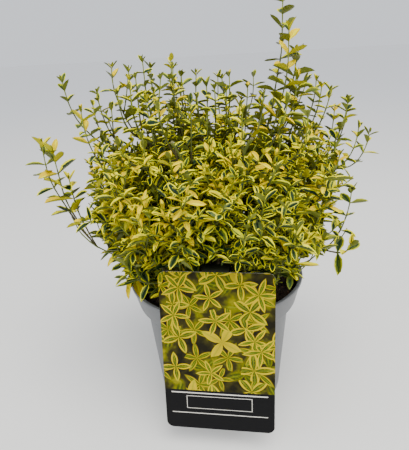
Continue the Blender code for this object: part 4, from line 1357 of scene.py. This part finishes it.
def leafFaces():
    # a leaf has rows of points on top, a root and a tip point, and a row of points under the midrib
    rows, columns = len(leafValues["stations"]), 7
    right = columns - 1
    root = rows * columns
    tip, under = root + 1, root + 2
    last, end = root - columns, under + rows - 1
    quads = []
    for a in range(0, last, columns):
        b = a + columns
        quads += [(a + c, b + c, b + c + 1, a + c + 1) for c in range(right)]
    for row in range(rows - 1):
        a, b, low = row * columns, (row + 1) * columns, under + row
        quads += [(a, low, low + 1, b), (low, a + right, b + right, low + 1)]
    triangles = [(root, c, c + 1) for c in range(right)]
    triangles += [(last + c, tip, last + c + 1) for c in range(right)]
    triangles += [(root, under, 0), (root, right, under), (last, end, tip), (end, last + right, tip)]
    return np.array(quads), np.array(triangles)


def leafShapes(root, aim, up, length, broad, inner, dice):
    # along s: x = L s, half width w = W t^a (1-t)^b with t the share past the petiole. Across u from
    # -1 to 1: y = u w cos(fold), z = |u| w sin(fold) - droop L t^2 + |u| wave sin(9 s + phase), and
    # then a twist by t round the midrib
    v = leafValues
    count = len(length)
    stations = np.array(v["stations"])
    t = (stations - v["petiole"]) / (1 - v["petiole"])
    peak = v["outlineRise"] / (v["outlineRise"] + v["outlineFall"])
    top = peak ** v["outlineRise"] * (1 - peak) ** v["outlineFall"]
    outline = t ** v["outlineRise"] * (1 - t) ** v["outlineFall"] / top
    halfWidth = length * dice.uniform(*v["widthShare"], count) * broad / 2
    fold = dice.uniform(*v["fold"], count)
    droop = dice.normal(*v["droop"], count)
    twist = dice.normal(0.0, v["twist"], count)
    wave = dice.uniform(0.0, v["wave"], count) * halfWidth
    phase = dice.uniform(0.0, tau, count)
    # columns: edge, margin's inner edge, part of the way in, midrib, and back out, with uneven borders
    each = (count, len(stations))
    borders = inner[:, None] + dice.normal(0.0, v["borderSpread"], (2, *each))
    left, right = np.clip(borders, *v["borders"])
    heart = dice.uniform(*v["hearts"], each)
    edge = np.ones(each)
    across = np.stack([-edge, -left, -left * heart, np.zeros(each), right * heart, right, edge], axis=-1)
    w = halfWidth[:, None] * outline
    y = across * (w * np.cos(fold)[:, None])[..., None]
    lift = np.abs(across) * (w * np.sin(fold)[:, None])[..., None]
    curl = (droop * length)[:, None] * t ** 2
    ripple = wave[:, None] * np.sin(phase[:, None] + v["waveTurn"] * stations)
    z = lift - curl[..., None] + np.abs(across) * ripple[..., None]
    turn = (twist[:, None] * t)[..., None]
    y, z = y * np.cos(turn) - z * np.sin(turn), y * np.sin(turn) + z * np.cos(turn)
    x = length[:, None, None] * stations[None, :, None] + np.zeros_like(y)
    side = np.cross(up, aim)
    axes = (aim[:, None, None], side[:, None, None], up[:, None, None])
    blade = root[:, None, None] + x[..., None] * axes[0] + y[..., None] * axes[1] + z[..., None] * axes[2]
    tip = root + aim * length[:, None] - up * (droop * length)[:, None]
    under = blade[:, :, 3] - up[:, None] * v["thick"]
    return np.concatenate([blade.reshape(count, -1, 3), root[:, None], tip[:, None], under], axis=1)


def leafSlots(kinds, dice):
    # which tone each face takes, as a number in its kind's list: margins, flanks and heart by
    # column, the stalk's row, the tip and the underside. Some faces take their outer neighbour's
    # tone, and a few leaves are all margin on one side
    v = leafValues
    palette = np.array([[toneNumber[name] for name in kind[0]] for kind in leafKinds])[kinds]
    count = len(kinds)
    rows = len(v["stations"]) - 1
    role = np.broadcast_to(np.array([0, 1, 2, 2, 1, 0]), (count, rows, 6)).copy()
    role[(role == 1) & (dice.random(role.shape) < v["marginMore"])] = 0
    role[(role == 2) & (dice.random(role.shape) < v["flankMore"])] = 1
    role[dice.random(count) < v["halfGolden"], :, :3] = 0
    each = np.arange(count)[:, None]
    top = palette[each, role.reshape(count, -1)]
    under = np.broadcast_to(palette[:, 4:5], (count, 2 * rows))
    stalkFan, tipFan, underside = (3, 1, 1, 1, 1, 3), (0, 0, 1, 1, 0, 0), (4, 4, 4, 4)
    ends = palette[:, stalkFan + tipFan + underside]
    return np.concatenate([top, under], axis=1), ends


def dealKinds(shoot, root, dice):
    # a spray keeps mostly to one kind of leaf. Golden sprays stand in patches, and the long and the
    # single shoots have their own odds
    v = sprayValues
    tip = shoot["path"][-1:]
    odds = np.array([kind[2] for kind in leafKinds])
    patch = np.clip(ripples(tip, v["patchSize"], v["patchSeed"])[0], *v["patches"])
    odds[v["golden"]] *= 1.0 + v["clustering"] * patch
    odds[dice.choice(len(odds), p=odds / odds.sum())] += v["own"]
    more = [] if shoot["kind"] == "dome" else ["long"]
    if shoot["kind"] == "lone":
        more.append("loneLow" if tip[0, 2] < v["loneHeight"] else "loneHigh")
    for key in more:
        for kind, extra in v[key].items():
            odds[kind] += extra
    kinds = dice.choice(len(odds), len(root), p=odds / odds.sum())
    # painted shade: leaves towards the inside of the crown are dealt dark kinds, for the shade there, and
    # fewer at the top, for the light that gets in from above
    reach, far = crownReach(root)
    inside = (v["shadeStart"] - far / reach) / v["shadeRun"]
    inside -= v["topLight"] * np.interp(root[:, 2], v["lightHeights"], (0.0, 1.0))
    dark = dice.random(len(root)) < np.minimum(inside, v["shadeMost"])
    kinds[dark] = dice.choice(list(v["shadeKinds"]), dark.sum(), p=list(v["shadeKinds"].values()))
    # half of the lowest leaves are old ones, green with a thin margin; this also darkens the low crown as
    # painted shade
    old = (root[:, 2] < v["oldShadeBelow"]) & (dice.random(len(root)) < v["oldShadeShare"])
    kinds[old] = dice.choice(list(v["oldShadeKinds"]), old.sum(), p=list(v["oldShadeKinds"].values()))
    return kinds


leafGroups = {
    "leaves_skirt_left": [f"skirt_{i}" for i in (4, 5, 6)],
    "leaves_skirt_right": [f"skirt_{i}" for i in (7, 8, 1)],
    "leaves_skirt_back": [f"skirt_{i}" for i in (2, 3)],
    "leaves_side_front": [f"side_{i}" for i in (4, 5, 6)],
    "leaves_side_back": [f"side_{i}" for i in (1, 2, 3)],
    "leaves_top_front": ["top_1", "top_5", "top_6", "crest"],
    "leaves_top_back": ["top_2", "top_3", "top_4"],
    "leaves_outer": ["outlier_left", "outlier_right"],
}


def makeLeaves():
    v = leafValues
    dice = np.random.default_rng(9)
    toneDice = np.random.default_rng(12)
    found = []
    for shoot in shoots:
        root, aim, up, length, shoot["spots"] = leafPlaces(shoot, dice)
        kinds = dealKinds(shoot, root, toneDice)
        broad = np.full(len(length), 1.0 if shoot["kind"] == "dome" else v["longWidth"])
        found.append((root, aim, up, length, broad, np.full(len(length), shoot["mass"]), kinds))
    root, aim, up, length, broad, mass, kinds = (np.concatenate(part) for part in zip(*found))
    inner = np.array([kind[1] for kind in leafKinds])[kinds]
    points = leafShapes(root, aim, up, length, broad, inner, dice)
    # a leaf that would touch the pot, the soil, the stock or the label is left out, and so are those
    # whose middle lies in the bare spot
    keep = ~blocked(points, 0.001).any(axis=1)
    keep &= np.linalg.norm(points.mean(axis=1) - np.array(v["bareSpot"]), axis=1) > v["bareReach"]
    quadSlots, triangleSlots = leafSlots(kinds, dice)
    quads, triangles = leafFaces()
    paints = [leafPaint(name, colour) for name, colour in leafTones.items()]
    names = [entry["name"] for entry in masses]
    for pieceName, members in leafGroups.items():
        chosen = np.flatnonzero(keep & np.isin(mass, [names.index(member) for member in members]))
        starts = np.arange(len(chosen)) * points.shape[1]
        shape = (points[chosen].reshape(-1, 3), (quads + starts[:, None, None]).reshape(-1, 4),
                 (triangles + starts[:, None, None]).reshape(-1, 3))
        piece = makePiece(pieceName, shape, paints, quadSlots[chosen].ravel(), triangleSlots[chosen].ravel(),
                          sharpAngle=75)
        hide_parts(*[f"foliage_{member}" for member in members])
        print(pieceName, "leaves", len(chosen), "triangles", (2 * len(quads) + len(triangles)) * len(chosen))


makeLeaves()
makeShoots()
